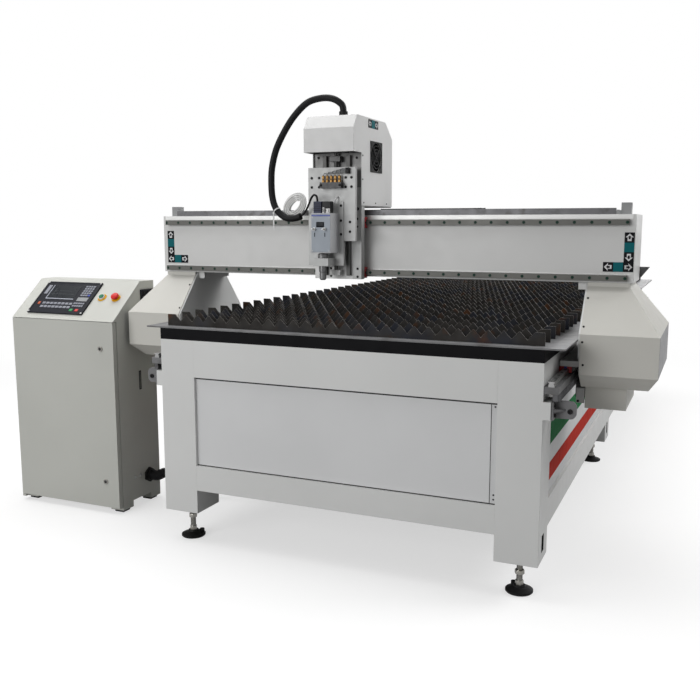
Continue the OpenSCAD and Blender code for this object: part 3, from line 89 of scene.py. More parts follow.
def makeMaterial(name, given):
    look = {**plainLook, **given}
    mat = bpy.data.materials.new(name)
    mat.use_nodes = True
    tree = mat.node_tree
    tree.nodes.clear()
    add = tree.nodes.new
    link = tree.links.new
    out = add("ShaderNodeOutputMaterial")
    shader = add("ShaderNodeBsdfPrincipled")
    link(shader.outputs["BSDF"], out.inputs["Surface"])
    coords = add("ShaderNodeTexCoord")

    def noise(scale, detail):
        node = add("ShaderNodeTexNoise")
        node.inputs["Scale"].default_value = scale
        node.inputs["Detail"].default_value = detail
        link(coords.outputs["Object"], node.inputs["Vector"])
        return node.outputs["Fac"]

    def ramp(source, fromLow, fromHigh, toLow, toHigh):
        node = add("ShaderNodeMapRange")
        node.inputs["From Min"].default_value = fromLow
        node.inputs["From Max"].default_value = fromHigh
        node.inputs["To Min"].default_value = toLow
        node.inputs["To Max"].default_value = toHigh
        link(source, node.inputs["Value"])
        return node.outputs["Result"]

    def math2(kind, first, second):
        node = add("ShaderNodeMath")
        node.operation = kind
        for socket, value in enumerate((first, second)):
            if isinstance(value, (int, float)):
                node.inputs[socket].default_value = value
            else:
                link(value, node.inputs[socket])
        return node.outputs["Value"]

    def vector2(kind, first, second):
        node = add("ShaderNodeVectorMath")
        node.operation = kind
        link(first, node.inputs[0])
        node.inputs[1].default_value = second
        return node.outputs["Vector"]

    def mix(factor, first, second):
        node = add("ShaderNodeMix")
        node.data_type = "RGBA"
        link(factor, node.inputs["Factor"])
        for socket, value in ((6, first), (7, second)):
            if isinstance(value, tuple):
                node.inputs[socket].default_value = (*value, 1)
            else:
                link(value, node.inputs[socket])
        return node.outputs[2]

    # slow changes of tone, zones of another colour (some of them painted shade or painted light), stains,
    # worn edges
    color = look["color"]
    shade = tuple(c * look["toneDrop"] for c in color)
    tone = mix(ramp(noise(look["toneScale"], 3), *noiseSpan, 0, 1), color, shade)
    for low, high, zoneColor in look["zones"]:
        a, b = loc(*low), loc(*high)
        shifted = vector2("SUBTRACT", coords.outputs["Object"], (a + b) / 2)
        scaled = vector2("DIVIDE", shifted, (b - a) / 2)
        size = vector2("ABSOLUTE", scaled, (0, 0, 0))
        parts = add("ShaderNodeSeparateXYZ")
        link(size, parts.inputs["Vector"])
        wider = math2("MAXIMUM", parts.outputs["X"], parts.outputs["Y"])
        most = math2("MAXIMUM", wider, parts.outputs["Z"])
        tone = mix(math2("LESS_THAN", most, 1.0), tone, zoneColor)
    if "tint" in look:
        tinted = ramp(noise(look["tintScale"], 2), look["tintFrom"], look["tintTo"], 0, look["tintMost"])
        tone = mix(tinted, tone, look["tint"])
    if "stain" in look:
        stained = ramp(noise(look["stainScale"], 6), look["stainFrom"], look["stainTo"], 0, look["stainMost"])
        tone = mix(stained, tone, look["stain"])
    rounded = add("ShaderNodeBevel")
    rounded.samples = 4
    rounded.inputs["Radius"].default_value = look["edge"]
    if "wear" in look:
        flat = add("ShaderNodeNewGeometry")
        turn = add("ShaderNodeVectorMath")
        turn.operation = "DOT_PRODUCT"
        link(rounded.outputs["Normal"], turn.inputs[0])
        link(flat.outputs["Normal"], turn.inputs[1])
        rim = ramp(turn.outputs["Value"], look["rimFrom"], look["rimTo"], 0, 1)
        patch = ramp(noise(look["wearScale"], 4), look["wearFrom"], look["wearTo"], 0, look["wearMost"])
        tone = mix(math2("MULTIPLY", rim, patch), tone, look["wear"])
    link(tone, shader.inputs["Base Color"])
    rough, spread = look["rough"], look["roughSpread"]
    roughness = ramp(noise(look["roughScale"], 4), *noiseSpan, rough - spread, rough + spread)
    link(roughness, shader.inputs["Roughness"])
    bump = add("ShaderNodeBump")
    bump.inputs["Strength"].default_value = look["bump"]
    bump.inputs["Distance"].default_value = look["bumpDepth"]
    link(noise(look["bumpScale"], 3), bump.inputs["Height"])
    link(rounded.outputs["Normal"], bump.inputs["Normal"])
    link(bump.outputs["Normal"], shader.inputs["Normal"])
    for socket, key in (("Metallic", "metal"), ("Specular IOR Level", "shine"), ("Coat Weight", "coat"),
                        ("Coat Roughness", "coatRough")):
        shader.inputs[socket].default_value = look[key]
    return mat


blackPlastic = (0.010, 0.010, 0.011)
brassTone = (0.24, 0.125, 0.026)
plateTone = (0.46, 0.46, 0.455)
looks = {
    "frame_paint": {"color": (0.72, 0.725, 0.715), "wear": (0.5, 0.5, 0.49), "coat": 0.1,
                    # zones: painted shade inside the hollow legs, where their side slots open
                    "zones": [((x, y + 5.5, 139), (x + 146, y + 152.5, 690), (0.012, 0.012, 0.012))
                              for x in (-755.5, 609.5) for y in (0, 1821, 3642)]
                    # inside the bed under the slats the frame is darker: partly dirt, partly painted shade
                    + [((-715.5, 40.5, 685), (715.5, 3759.5, 835), (0.085, 0.082, 0.078))]},
    "panel_paint": {"color": (0.72, 0.725, 0.73), "wear": (0.52, 0.52, 0.52), "coat": 0.1},
    "sidePaint": {"color": (0.63, 0.635, 0.64), "wear": (0.5, 0.5, 0.5), "coat": 0.1},
    "rim_paint": {"color": (0.006, 0.006, 0.007), "rough": 0.5, "wear": (0.04, 0.04, 0.04), "toneDrop": 0.8,
                  "shine": 0.06},
    "flange_steel": {"color": (0.19, 0.19, 0.195), "rough": 0.5, "wear": (0.45, 0.45, 0.45), "metal": 0.1,
                     "stain": (0.09, 0.088, 0.086), "stainScale": 9, "stainMost": 0.8, "shine": 0.3},
    "trayGrey": {"color": (0.30, 0.305, 0.31), "rough": 0.5, "wear": (0.45, 0.45, 0.45), "shine": 0.3},
    "slat_steel": {"color": (0.038, 0.035, 0.032), "toneDrop": 0.5, "toneScale": 18, "rough": 0.55,
                   "metal": 0.1, "tint": (0.020, 0.024, 0.036), "tintScale": 6, "tintMost": 0.8,
                   "stain": (0.10, 0.038, 0.012), "stainScale": 9, "stainFrom": 0.58, "stainTo": 0.72,
                   "stainMost": 0.75, "roughSpread": 0.14, "bump": 0.35, "bumpScale": 260, "shine": 0.15,
                   "wear": (0.30, 0.28, 0.25), "wearFrom": 0.30, "wearMost": 1.0, "edge": 0.0018},
    "tray_steel": {"color": (0.05, 0.05, 0.05), "rough": 0.6, "stain": (0.08, 0.045, 0.025), "stainScale": 5,
                   "shine": 0.3},
    "ground_steel": {"color": (0.36, 0.36, 0.36), "rough": 0.32, "metal": 0.85, "roughSpread": 0.06,
                     "bumpScale": 1500},
    "railGrey": {"color": (0.115, 0.115, 0.105), "rough": 0.4, "metal": 0.3, "roughSpread": 0.06,
                 "toneDrop": 0.8, "toneScale": 6, "wear": (0.4, 0.4, 0.4), "shine": 0.4},
    # a darker copy of the rail steel for the Z rails and Z screw: painted shade
    "railPaintedShade": {"color": (0.085, 0.085, 0.083), "rough": 0.4, "metal": 0.3, "roughSpread": 0.06,
                 "toneDrop": 0.8, "toneScale": 6, "shine": 0.3},
    # bright ledge colour, partly a painted highlight
    "ledgeAndHighlightWhite": {"color": (0.77, 0.77, 0.76), "rough": 0.34, "metal": 0.25, "roughSpread": 0.05},
    "gear_steel": {"color": (0.11, 0.11, 0.115), "rough": 0.4, "metal": 0.7, "stain": (0.04, 0.036, 0.032),
                   "stainScale": 30, "stainMost": 0.6},
    "buffer_rubber": {"color": (0.62, 0.15, 0.02), "rough": 0.5},
    "foot_plastic": {"color": (0.012, 0.012, 0.012), "rough": 0.5, "bump": 0.2, "toneDrop": 0.7,
                     "shine": 0.15},
    "zinc_steel": {"color": (0.42, 0.41, 0.38), "rough": 0.3, "metal": 0.9, "stain": (0.24, 0.22, 0.17),
                   "stainScale": 40, "stainMost": 0.5},
    "console_paint": {"color": (0.57, 0.575, 0.535), "rough": 0.5, "bump": 0.25, "bumpScale": 900,
                      "wear": (0.42, 0.42, 0.40), "shine": 0.35},
    "chassis_zinc": {"color": (0.5, 0.52, 0.53), "rough": 0.4, "metal": 0.8, "stain": (0.4, 0.42, 0.43),
                     "stainScale": 60},
    "control_black": {"color": (0.013, 0.014, 0.020), "toneDrop": 0.85, "shine": 0.12},
    "bezel_yellow": {"color": (0.86, 0.47, 0.004), "rough": 0.4, "shine": 0.2},
    "start_green": {"color": (0.002, 0.17, 0.075), "rough": 0.4, "shine": 0.2},
    "stop_red": {"color": (0.68, 0.020, 0.018), "rough": 0.35, "shine": 0.3},
    "cable_black": {"color": (0.009, 0.009, 0.010), "rough": 0.5, "bump": 0.2, "bumpScale": 400,
                    "toneDrop": 0.7, "shine": 0.15},
    "tube_white": {"color": (0.82, 0.82, 0.81), "rough": 0.25, "coat": 0.3},
    "chain_black": {"color": (0.010, 0.010, 0.011), "rough": 0.5, "toneDrop": 0.75, "shine": 0.12},
    "beam_white": {"color": (0.70, 0.70, 0.69), "rough": 0.4, "coat": 0.1, "wear": (0.5, 0.5, 0.5)},
    "cover_ivory": {"color": (0.72, 0.72, 0.715), "rough": 0.46, "bump": 0.2, "bumpScale": 900,
                    "wear": (0.5, 0.5, 0.49)},
    "housingPaint": {"color": (0.63, 0.62, 0.575), "rough": 0.46, "bump": 0.2, "bumpScale": 900,
                     "wear": (0.46, 0.46, 0.43),
                     # zones: painted shade on the outer end faces of both housings
                     "zones": [((x, 200, 760), (x + 1.5, 760, 902), (0.27, 0.27, 0.28))
                               for x in (-1095, 1093.5)]},
    "plate_aluminium": {"color": plateTone, "rough": 0.42, "metal": 0.25, "roughScale": 60, "toneScale": 8},
    "liftPlate": {"color": (0.47, 0.475, 0.47), "rough": 0.42, "metal": 0.1, "roughScale": 60, "toneScale": 8,
                  "zones": [((-166, 233, 1415.5), (-74, 257.8, 1438.2), (0.024, 0.024, 0.026)),
                            ((-166, 233, 1438.2), (-74, 257.8, 1470), brassTone)]},
    # saddle plate colours are painted light: the dark base is painted shade from the cover, the two lighter
    # zones are its lit strip and lit lower part, the last zone is painted shade on the screw support
    "saddlePaintedLight": {"color": (0.20, 0.20, 0.197), "rough": 0.42, "metal": 0.1, "roughScale": 60,
                    "toneScale": 8,
                    "zones": [((-57, 304, 1060), (-15, 337, 1420), (0.47, 0.475, 0.47)),
                              ((-225, 270, 1060), (-57, 337, 1216), (0.66, 0.66, 0.655)),
                              ((-143, 272, 1505), (-97, 304.5, 1562), (0.05, 0.05, 0.05))]},
    "motor_black": {"color": (0.02, 0.02, 0.021), "rough": 0.4, "toneDrop": 0.8, "shine": 0.4},
    "driveMix": {"color": (0.02, 0.02, 0.021), "rough": 0.42, "toneDrop": 0.8, "shine": 0.4,
                 "zones": [((-1100, 300, 600), (1100, 429, 740), plateTone),
                           ((-1100, 543, 600), (1100, 680, 740), plateTone)]},
    "box_paint": {"color": (0.54, 0.545, 0.56), "wear": (0.6, 0.6, 0.6), "shine": 0.2,
                  "zones": [((-180, 170, 1321.2), (-137.5, 300, 1370), (0.035, 0.04, 0.075)),
                            ((-137.5, 170, 1321.2), (-90, 300, 1370), blackPlastic),
                            ((-190, 150, 1245), (-80, 179.6, 1277), (0.78, 0.78, 0.77))]},
    "shellPaint": {"color": (0.57, 0.575, 0.535), "rough": 0.5, "bump": 0.25, "bumpScale": 900, "shine": 0.35,
                   "wear": (0.42, 0.42, 0.40), "zones": [((-2000, 0, -5), (-1000, 600, 12.6), blackPlastic)]},
    "torch_metal": {"color": (0.17, 0.17, 0.172), "rough": 0.3, "metal": 0.6},
    "boltSteel": {"color": (0.011, 0.011, 0.012), "metal": 0.1, "shine": 0.2},
    "railBolt": {"color": (0.008, 0.032, 0.022), "shine": 0.1},
    "brightBolt": {"color": (0.50, 0.50, 0.49), "rough": 0.3, "metal": 0.8},
    "threadSteel": {"color": (0.07, 0.07, 0.07), "rough": 0.35, "metal": 0.6},
    "brass": {"color": brassTone, "rough": 0.3, "metal": 0.6, "toneDrop": 0.8},
    "sealRed": {"color": (0.42, 0.018, 0.022), "rough": 0.4},
    "sealBlue": {"color": (0.03, 0.045, 0.30), "rough": 0.4},
    # black of the printed marks, also painted shade round the slot in the console's side
    "decalAndShadeBlack": {"color": (0.007, 0.007, 0.009), "rough": 0.5, "shine": 0.08},
    "decalTeal": {"color": (0.004, 0.13, 0.15), "rough": 0.5, "shine": 0.1},
    "decalWhite": {"color": (0.74, 0.74, 0.75)},
    "bandGreen": {"color": (0.018, 0.17, 0.055), "rough": 0.7, "toneDrop": 0.85, "shine": 0.05},
    "bandRed": {"color": (0.52, 0.035, 0.022), "rough": 0.7, "toneDrop": 0.85, "shine": 0.05},
    "keyGrey": {"color": (0.28, 0.29, 0.33), "rough": 0.5, "shine": 0.2},
    "keyPale": {"color": (0.26, 0.27, 0.28)},
    "keyOrange": {"color": (0.55, 0.10, 0.03)},
    "keyBlue": {"color": (0.04, 0.07, 0.42)},
    "keyGreen": {"color": (0.02, 0.28, 0.08)},
    "keyRed": {"color": (0.62, 0.04, 0.04)},
    "screenGlass": {"color": (0.012, 0.015, 0.019), "rough": 0.3, "bump": 0.02, "toneScale": 9,
                    "shine": 0.12},
    "screenTrace": {"color": (0.06, 0.07, 0.08), "rough": 0.3},
    "screenEdge": {"color": (0.36, 0.38, 0.44), "rough": 0.35},
    "stripeBlue": {"color": (0.035, 0.06, 0.30), "rough": 0.4},
    "boxFace": {"color": (0.375, 0.415, 0.465), "toneScale": 14, "shine": 0.25},
    "pipeGrey": {"color": (0.22, 0.225, 0.23), "rough": 0.35, "metal": 0.3},
    "seamGrey": {"color": (0.06, 0.06, 0.06), "rough": 0.6, "shine": 0.1},
    "togglePale": {"color": (0.78, 0.78, 0.77), "rough": 0.3, "metal": 0.2},
    "tieWhite": {"color": (0.74, 0.74, 0.74), "rough": 0.35},
}
mats = {name: makeMaterial(name, look) for name, look in looks.items()}
ownLook = {"side_panels": "sidePaint", "toggle_left": "togglePale", "toggle_right": "togglePale",
           "left_housing": "housingPaint", "right_housing": "housingPaint", "x_saddle": "saddlePaintedLight",
           "z_plate": "liftPlate", "y_drives": "driveMix", "console_shell": "shellPaint",
           "x_rails": "railGrey", "z_rails": "railPaintedShade", "z_screw": "railPaintedShade", "chain_tray": "trayGrey"}
slotOf = {part["node"]: part["material_slot"] for part in record["subparts"]}
for name, obj in nodes.items():
    obj.data.materials.clear()
    obj.data.materials.append(mats[ownLook.get(name, slotOf[name])])
print("materials made")


# mesh helpers; place turns sizes in millimetres into the part's metres
def paint(faces, mat):
    for f in faces:
        f.material_index = mat


def addBox(bm, low, high, mat=0, bevel=0.0, place=loc):
    made = bmesh.ops.create_cube(bm, size=1)["verts"]
    for v in made:
        v.co = place(*[low[i] if v.co[i] < 0 else high[i] for i in range(3)])
    faces = {f for v in made for f in v.link_faces}
    paint(faces, mat)
    if bevel:
        edges = list({e for f in faces for e in f.edges})
        bmesh.ops.bevel(bm, geom=edges, offset=bevel / 1000, segments=2, affect="EDGES", profile=0.5,
                        material=mat)


def addPrism(bm, outline, place, low, high, mat=0):
    first = [bm.verts.new(place(u, v, low)) for u, v in outline]
    second = [bm.verts.new(place(u, v, high)) for u, v in outline]
    count = len(outline)
    faces = [bm.faces.new(first[::-1]), bm.faces.new(second)]
    for i in range(count):
        n = (i + 1) % count
        faces.append(bm.faces.new((first[i], first[n], second[n], second[i])))
    paint(faces, mat)


# a turned form from radii and heights; rings named in hexed have six flats
def addLathe(bm, origin, axis, profile, mat=0, sides=24, hexed=()):
    direction = Vector(axis).normalized()
    turn = direction.to_track_quat("Z", "Y").to_matrix()
    rings = []
    for i, (radius, height) in enumerate(profile):
        if radius == 0:
            rings.append([bm.verts.new(origin + direction * height / 1000)])
            continue
        ring = []
        for k in range(sides):
            a = 2 * math.pi * k / sides
            flat = math.cos(math.pi / 6) / math.cos(a % (math.pi / 3) - math.pi / 6) if i in hexed else 1
            offset = Vector((radius * flat * math.cos(a), radius * flat * math.sin(a), height)) / 1000
            ring.append(bm.verts.new(origin + turn @ offset))
        rings.append(ring)
    faces = []
    for a, b in zip(rings, rings[1:]):
        for k in range(sides):
            n = (k + 1) % sides
            if len(a) == 1:
                faces.append(bm.faces.new((a[0], b[n], b[k])))
            elif len(b) == 1:
                faces.append(bm.faces.new((a[k], a[n], b[0])))
            else:
                faces.append(bm.faces.new((a[k], a[n], b[n], b[k])))
    paint(faces, mat)


# a round tube along a route in metres, closed at both ends
def addTube(bm, route, radiusAt, sides, up):
    rings = []
    last = len(route) - 1
    angles = [2 * math.pi * k / sides for k in range(sides)]
    for i, p in enumerate(route):
        t = (route[min(i + 1, last)] - route[max(i - 1, 0)]).normalized()
        s = t.cross(Vector(up)).normalized()
        w = s.cross(t)
        r = radiusAt(i)
        rings.append([bm.verts.new(p + r * (math.cos(a) * s + math.sin(a) * w)) for a in angles])
    for a, b in zip(rings, rings[1:]):
        for k in range(sides):
            n = (k + 1) % sides
            bm.faces.new((a[k], a[n], b[n], b[k]))
    bm.faces.new(rings[0][::-1])
    bm.faces.new(rings[-1])


# a cap screw with a hexagon socket, standing on a face
def addScrew(bm, origin, axis, radius, height, mat=0):
    lip = 0.15 * radius
    addLathe(bm, origin, axis, [(0, 0), (radius, 0), (radius, height - lip), (radius - lip, height),
                                (0.52 * radius, height), (0.5 * radius, 0.3 * height), (0, 0.3 * height)],
             mat, 18, hexed=(4, 5))


def meshFrom(name, build, materials):
    bm = bmesh.new()
    build(bm)
    bmesh.ops.remove_doubles(bm, verts=bm.verts, dist=1e-7)
    bmesh.ops.recalc_face_normals(bm, faces=bm.faces)
    mesh = bpy.data.meshes.new(name)
    bm.to_mesh(mesh)
    bm.free()
    for m in materials:
        mesh.materials.append(mats[m])
    mesh.shade_smooth()
    mesh.set_sharp_from_angle(angle=math.radians(32))
    return mesh


def makePiece(name, body, materials, build):
    obj = bpy.data.objects.new(name, meshFrom(name, build, materials))
    scene.collection.objects.link(obj)
    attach(obj, body)


# cords first: the same round points as the solid model, in metres
def smoothRoute(points, steps):
    pts = [Vector(p) for p in points]
    route = []
    for i in range(len(pts) - 1):
        a, b, c, d = pts[max(i - 1, 0)], pts[i], pts[i + 1], pts[min(i + 2, len(pts) - 1)]
        for k in range(steps):
            t = k / steps
            route.append(0.5 * (2 * b + (c - a) * t + (2 * a - 5 * b + 4 * c - d) * t * t
                                + (3 * b - a - 3 * c + d) * t ** 3))
    return route + [pts[-1]]


def tubeMesh(name, route, radiusAt, sides, up, material):
    bm = bmesh.new()
    addTube(bm, route, radiusAt, sides, up)
    bmesh.ops.recalc_face_normals(bm, faces=bm.faces)
    mesh = bpy.data.meshes.new(name)
    bm.to_mesh(mesh)
    bm.free()
    mesh.materials.append(mats[material])
    for f in mesh.polygons:
        f.use_smooth = len(f.vertices) == 4
    obj = bpy.data.objects.new(name, mesh)
    scene.collection.objects.link(obj)
    return obj


hose = {
    "start": loc(-112, 341, 1712),
    "points": [(0, 0, 0), (-0.006, -0.002, 0.026), (-0.038, -0.008, 0.048), (-0.084, -0.012, 0.054),
               (-0.140, -0.024, 0.040), (-0.188, -0.034, -0.002), (-0.228, -0.044, -0.058),
               (-0.262, -0.060, -0.132), (-0.276, -0.072, -0.198), (-0.280, -0.076, -0.254),
               (-0.270, -0.088, -0.326), (-0.246, -0.098, -0.376), (-0.208, -0.100, -0.406),
               (-0.170, -0.100, -0.410), (-0.138, -0.100, -0.402)],
    "diameter": 0.026,
}
hoseRoute = [hose["start"] + p for p in smoothRoute(hose["points"], 10)]
hoseTube = tubeMesh("hoseTube", hoseRoute, lambda i: hose["diameter"] / 2, 24, (0, 1, 0), "cable_black")
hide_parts("torch_hose")
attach(hoseTube, "x_carriage")

cable = {
    "points": [(0, 0, 0), (0.020, -0.006, 0.014), (0.040, -0.014, 0.042), (0.056, -0.022, 0.068),
               (0.070, -0.028, 0.080), (0.082, -0.030, 0.076), (0.086, -0.030, 0.064),
               (0.086, -0.030, 0.0554)],
    "diameter": 0.008,
}
cableRoute = [hoseRoute[-1] + p for p in smoothRoute(cable["points"], 8)]
cableTube = tubeMesh("cableTube", cableRoute, lambda i: cable["diameter"] / 2, 16, (0, 1, 0), "cable_black")
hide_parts("signal_cable")
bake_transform(cableTube)

conduit = {
    "start": loc(-1092, 362, 130),
    "end": loc(-778, 640, 275),
    "shares": [(0, 0, 0), (0.09, 0.004, 0), (0.20, 0.04, 0.10), (0.31, 0.12, 0.02), (0.42, 0.26, -0.28),
               (0.53, 0.46, -0.42), (0.64, 0.68, -0.18), (0.74, 0.86, 0.34), (0.83, 0.96, 0.78),
               (0.91, 1, 0.98), (1, 1, 1)],
    "ribs": (0, 0, -0.0028, -0.0028),
    "diameter": 0.046,
}
reach = conduit["end"] - conduit["start"]
conduitRoute = [conduit["start"] + Vector((p[0] * reach[0], p[1] * reach[1], p[2] * reach[2]))
                for p in smoothRoute(conduit["shares"], 30)]
conduitTube = tubeMesh("conduitTube", conduitRoute,
                       lambda i: conduit["diameter"] / 2 + conduit["ribs"][i % 4], 28, (0, 0, 1),
                       "cable_black")
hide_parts("conduit")
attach(conduitTube, "base")

coil = {"tube": 0.006, "turns": 4, "step": 0.0072, "size": (0.028, 0.012), "tilt": math.radians(44),
        "gap": 0.0003, "points": 48}
coil["whole"] = 2 * coil["turns"] + 0.5
coil["seat"] = (hose["diameter"] / 2 * math.cos(math.pi / 10) + coil["tube"] / 2 * math.cos(math.pi / 6)
                + coil["gap"])
coil["middle"] = hoseRoute[-1] + Vector((-0.036, coil["seat"], 0.041))


def coilPoint(turn):
    out = turn if turn < coil["turns"] else coil["whole"] - turn
    s = max(0, min(coil["turns"], out))
    climb = max(0, min(1, (turn - coil["turns"]) * 2))
    a = 2 * math.pi * turn
    return Vector(((coil["size"][0] + s * coil["step"]) * math.cos(a), climb * coil["step"],
                   (coil["size"][1] + s * coil["step"]) * math.sin(a)))


coilTurn = Matrix.Rotation(-coil["tilt"], 3, "Y")
coilCount = int(coil["points"] * coil["whole"])
coilRoute = [coil["middle"] + coilTurn @ coilPoint(i / coil["points"]) for i in range(coilCount + 1)]
coilTube = tubeMesh("coilTube", coilRoute, lambda i: coil["tube"] / 2, 12, (0, 1, 0), "tube_white")
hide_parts("tube_coil")
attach(coilTube, "x_carriage")
print("cords laid")


# rows of screws, thread rings and chain links by geometry nodes, from one template each
def rowGroup():
    group = bpy.data.node_groups.new("templateRow", "GeometryNodeTree")
    face = group.interface.new_socket
    for name, kind in (("Count", "Int"), ("Start", "Vector"), ("Step", "Vector"), ("Turn", "Vector"),
                       ("Template", "Object"), ("Material", "Material")):
        face(name, in_out="INPUT", socket_type=f"NodeSocket{kind}")
    face("Geometry", in_out="OUTPUT", socket_type="NodeSocketGeometry")
    add = group.nodes.new
    into, out = add("NodeGroupInput"), add("NodeGroupOutput")
    line = add("GeometryNodeMeshLine")
    info = add("GeometryNodeObjectInfo")
    copies = add("GeometryNodeInstanceOnPoints")
    real = add("GeometryNodeRealizeInstances")
    finish = add("GeometryNodeSetMaterial")
    for source, given, target, taken in (
            (into, "Count", line, "Count"), (into, "Start", line, "Start Location"),
            (into, "Step", line, "Offset"), (into, "Template", info, "Object"),
            (line, "Mesh", copies, "Points"), (info, "Geometry", copies, "Instance"),
            (into, "Turn", copies, "Rotation"), (copies, "Instances", real, "Geometry"),
            (real, "Geometry", finish, "Geometry"), (into, "Material", finish, "Material"),
            (finish, "Geometry", out, "Geometry")):
        group.links.new(source.outputs[given], target.inputs[taken])
    return group


templateRows = rowGroup()
rowSockets = {s.name: s.identifier for s in templateRows.interface.items_tree if s.in_out == "INPUT"}
rowTurns = {"-y": (math.pi / 2, 0, 0), "+z": (0, 0, 0)}
centre = Vector((0, 0, 0))
chainLink = {"pitch": 30, "width": 18, "height": 25, "wall": 3, "gap": 0.4, "bar": 9, "barIn": 1,
             "barThick": 3, "pinBack": 5, "pin": [(0, -1), (4.5, -1), (4, 0.8), (0, 0.8)]}
barHeights = (chainLink["barIn"], chainLink["height"] - chainLink["barIn"] - chainLink["barThick"])


def linkTemplate(bm):
    c = chainLink
    half, middle = c["width"] / 2, c["pitch"] / 2
    for s in (-1, 1):
        low, high = sorted((s * half, s * (half - c["wall"])))
        addBox(bm, (c["gap"], low, 0), (c["pitch"] - c["gap"], high, c["height"]), 0, 1, mm)
        addLathe(bm, mm(c["pitch"] - c["pinBack"], s * half, c["height"] / 2), (0, s, 0), c["pin"])
    for z in barHeights:
        addBox(bm, (middle - c["bar"] / 2, c["barIn"] - half, z),
               (middle + c["bar"] / 2, half - c["barIn"], z + c["barThick"]), 0, 0.8, mm)


railScrewSection = [(0, -1), (5.6, -1), (5.6, 0.12), (5.3, 0.2), (2.9, 0.2), (2.7, 0.06), (0, 0.06)]
threadSection = [(9.4, 0), (10.9, 0.9), (9.4, 1.8)]
templateBuilds = {
    "railScrew": lambda bm: addLathe(bm, centre, (0, 0, 1), railScrewSection, 0, 18, hexed=(4, 5)),
    "thread": lambda bm: addLathe(bm, centre, (0, 0, 1), threadSection, 0, 28),
    "link": linkTemplate,
}
templates = {name: bpy.data.objects.new(name, meshFrom(name, build, ["boltSteel"]))
             for name, build in templateBuilds.items()}
for template in templates.values():
    scene.collection.objects.link(template)


def templateRow(name, body, template, start, step, count, axis, material):
    holder = bpy.data.objects.new(name, bpy.data.meshes.new(name))
    scene.collection.objects.link(holder)
    mod = holder.modifiers.new("row", "NODES")
    mod.node_group = templateRows
    values = {"Count": count, "Start": loc(*start), "Step": mm(*step), "Turn": Vector(rowTurns[axis]),
              "Template": templates[template], "Material": mats[material]}
    for key, value in values.items():
        mod[rowSockets[key]] = value
    dg = bpy.context.evaluated_depsgraph_get()
    mesh = bpy.data.meshes.new_from_object(holder.evaluated_get(dg))
    holder.modifiers.remove(mod)
    holder.data = mesh
    if body:
        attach(holder, body)
    return holder


railScrews = {"pitch": 60, "xStart": -960, "xFace": 348, "xHeights": (("Top", 1286), ("Low", 1091)),
              "xCount": 33, "yStart": 80, "yFace": 770, "ySides": (("Right", 780), ("Left", -780)),
              "yCount": 61}
stud = {"x": 680, "y": (79, 1900, 3721), "low": 43, "step": 2.2, "rings": 31}
for end, z in railScrews["xHeights"]:
    templateRow(f"xRail{end}Screws", "gantry", "railScrew",
                (railScrews["xStart"], railScrews["xFace"], z), (railScrews["pitch"], 0, 0),
                railScrews["xCount"], "-y", "railBolt")
for side, x in railScrews["ySides"]:
    templateRow(f"yRail{side}Screws", "base", "railScrew",
                (x, railScrews["yStart"], railScrews["yFace"]), (0, railScrews["pitch"], 0),
                railScrews["yCount"], "+z", "boltSteel")
for side, x in (("Left", -stud["x"]), ("Right", stud["x"])):
    for i, y in enumerate(stud["y"]):
        templateRow(f"studThread{side}{i}", "base", "thread", (x, y, stud["low"]),
                    (0, 0, stud["step"]), stud["rings"], "+z", "threadSteel")

# lock nuts run down the foot screws, each to its own height
nut = {"low": {-stud["x"]: (79, 72, 72), stud["x"]: (65, 72, 72)},
       "section": [(9.6, 0), (15, 0), (17.5, 1.6), (17.5, 14.4), (15, 16), (9.6, 16), (9.6, 0)]}


def lockNuts(bm):
    for x, lows in nut["low"].items():
        for y, low in zip(stud["y"], lows):
            addLathe(bm, loc(x, y, low), (0, 0, 1), nut["section"], 0, 24, hexed=(2, 3))


makePiece("lockNuts", "base", ["zinc_steel"], lockNuts)
print("screw rows set")

# drag chain: the laid run and the bend stay on the gantry, the carried run stretches to the head
chain = {"bendX": 367, "carriedY": 521, "laidY": 575, "floor": 1317, "carried": 13, "laid": 12, "bend": 4,
         "innerReach": 6, "outerReach": 13, "barReach": 4}
pitch = chainLink["pitch"]
laidStart = (chain["bendX"] - pitch * chain["laid"], chain["laidY"], chain["floor"])
carriedStart = (chain["bendX"] - pitch * chain["carried"], chain["carriedY"], chain["floor"])
chainLaid = templateRow("chainLaid", "gantry", "link", laidStart, (pitch, 0, 0),
                        chain["laid"], "+z", "chain_black")
chainCarried = templateRow("chainCarried", None, "link", carriedStart, (pitch, 0, 0),
                           chain["carried"], "+z", "chain_black")
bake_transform(chainCarried)


def bendLinks(bm):
    middle = (chain["carriedY"] + chain["laidY"]) / 2
    radius = (chain["laidY"] - chain["carriedY"]) / 2
    half, wall, rim = chainLink["width"] / 2, chainLink["wall"], chainLink["barIn"]
    for i in range(chain["bend"]):
        a = math.radians(-90 + (i + 0.5) * 180 / chain["bend"])
        along, out = Vector((-math.sin(a), math.cos(a))), Vector((math.cos(a), math.sin(a)))

        def onArc(u, v, w):
            return loc(chain["bendX"] + radius * out[0] + u * along[0] + v * out[0],
                       middle + radius * out[1] + u * along[1] + v * out[1], chain["floor"] + w)

        for low, long in ((-half, chain["innerReach"]), (half - wall, chain["outerReach"])):
            addBox(bm, (-long, low, 0), (long, low + wall, chainLink["height"]), 0, 1, onArc)
        for w in barHeights:
            addBox(bm, (-chain["barReach"], rim - half, w),
                   (chain["barReach"], half - rim, w + chainLink["barThick"]), 0, 0.8, onArc)


makePiece("chainBend", "gantry", ["chain_black"], bendLinks)
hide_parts("drag_chain")
for template in templates.values():
    bpy.data.objects.remove(template)
print("chain laid")

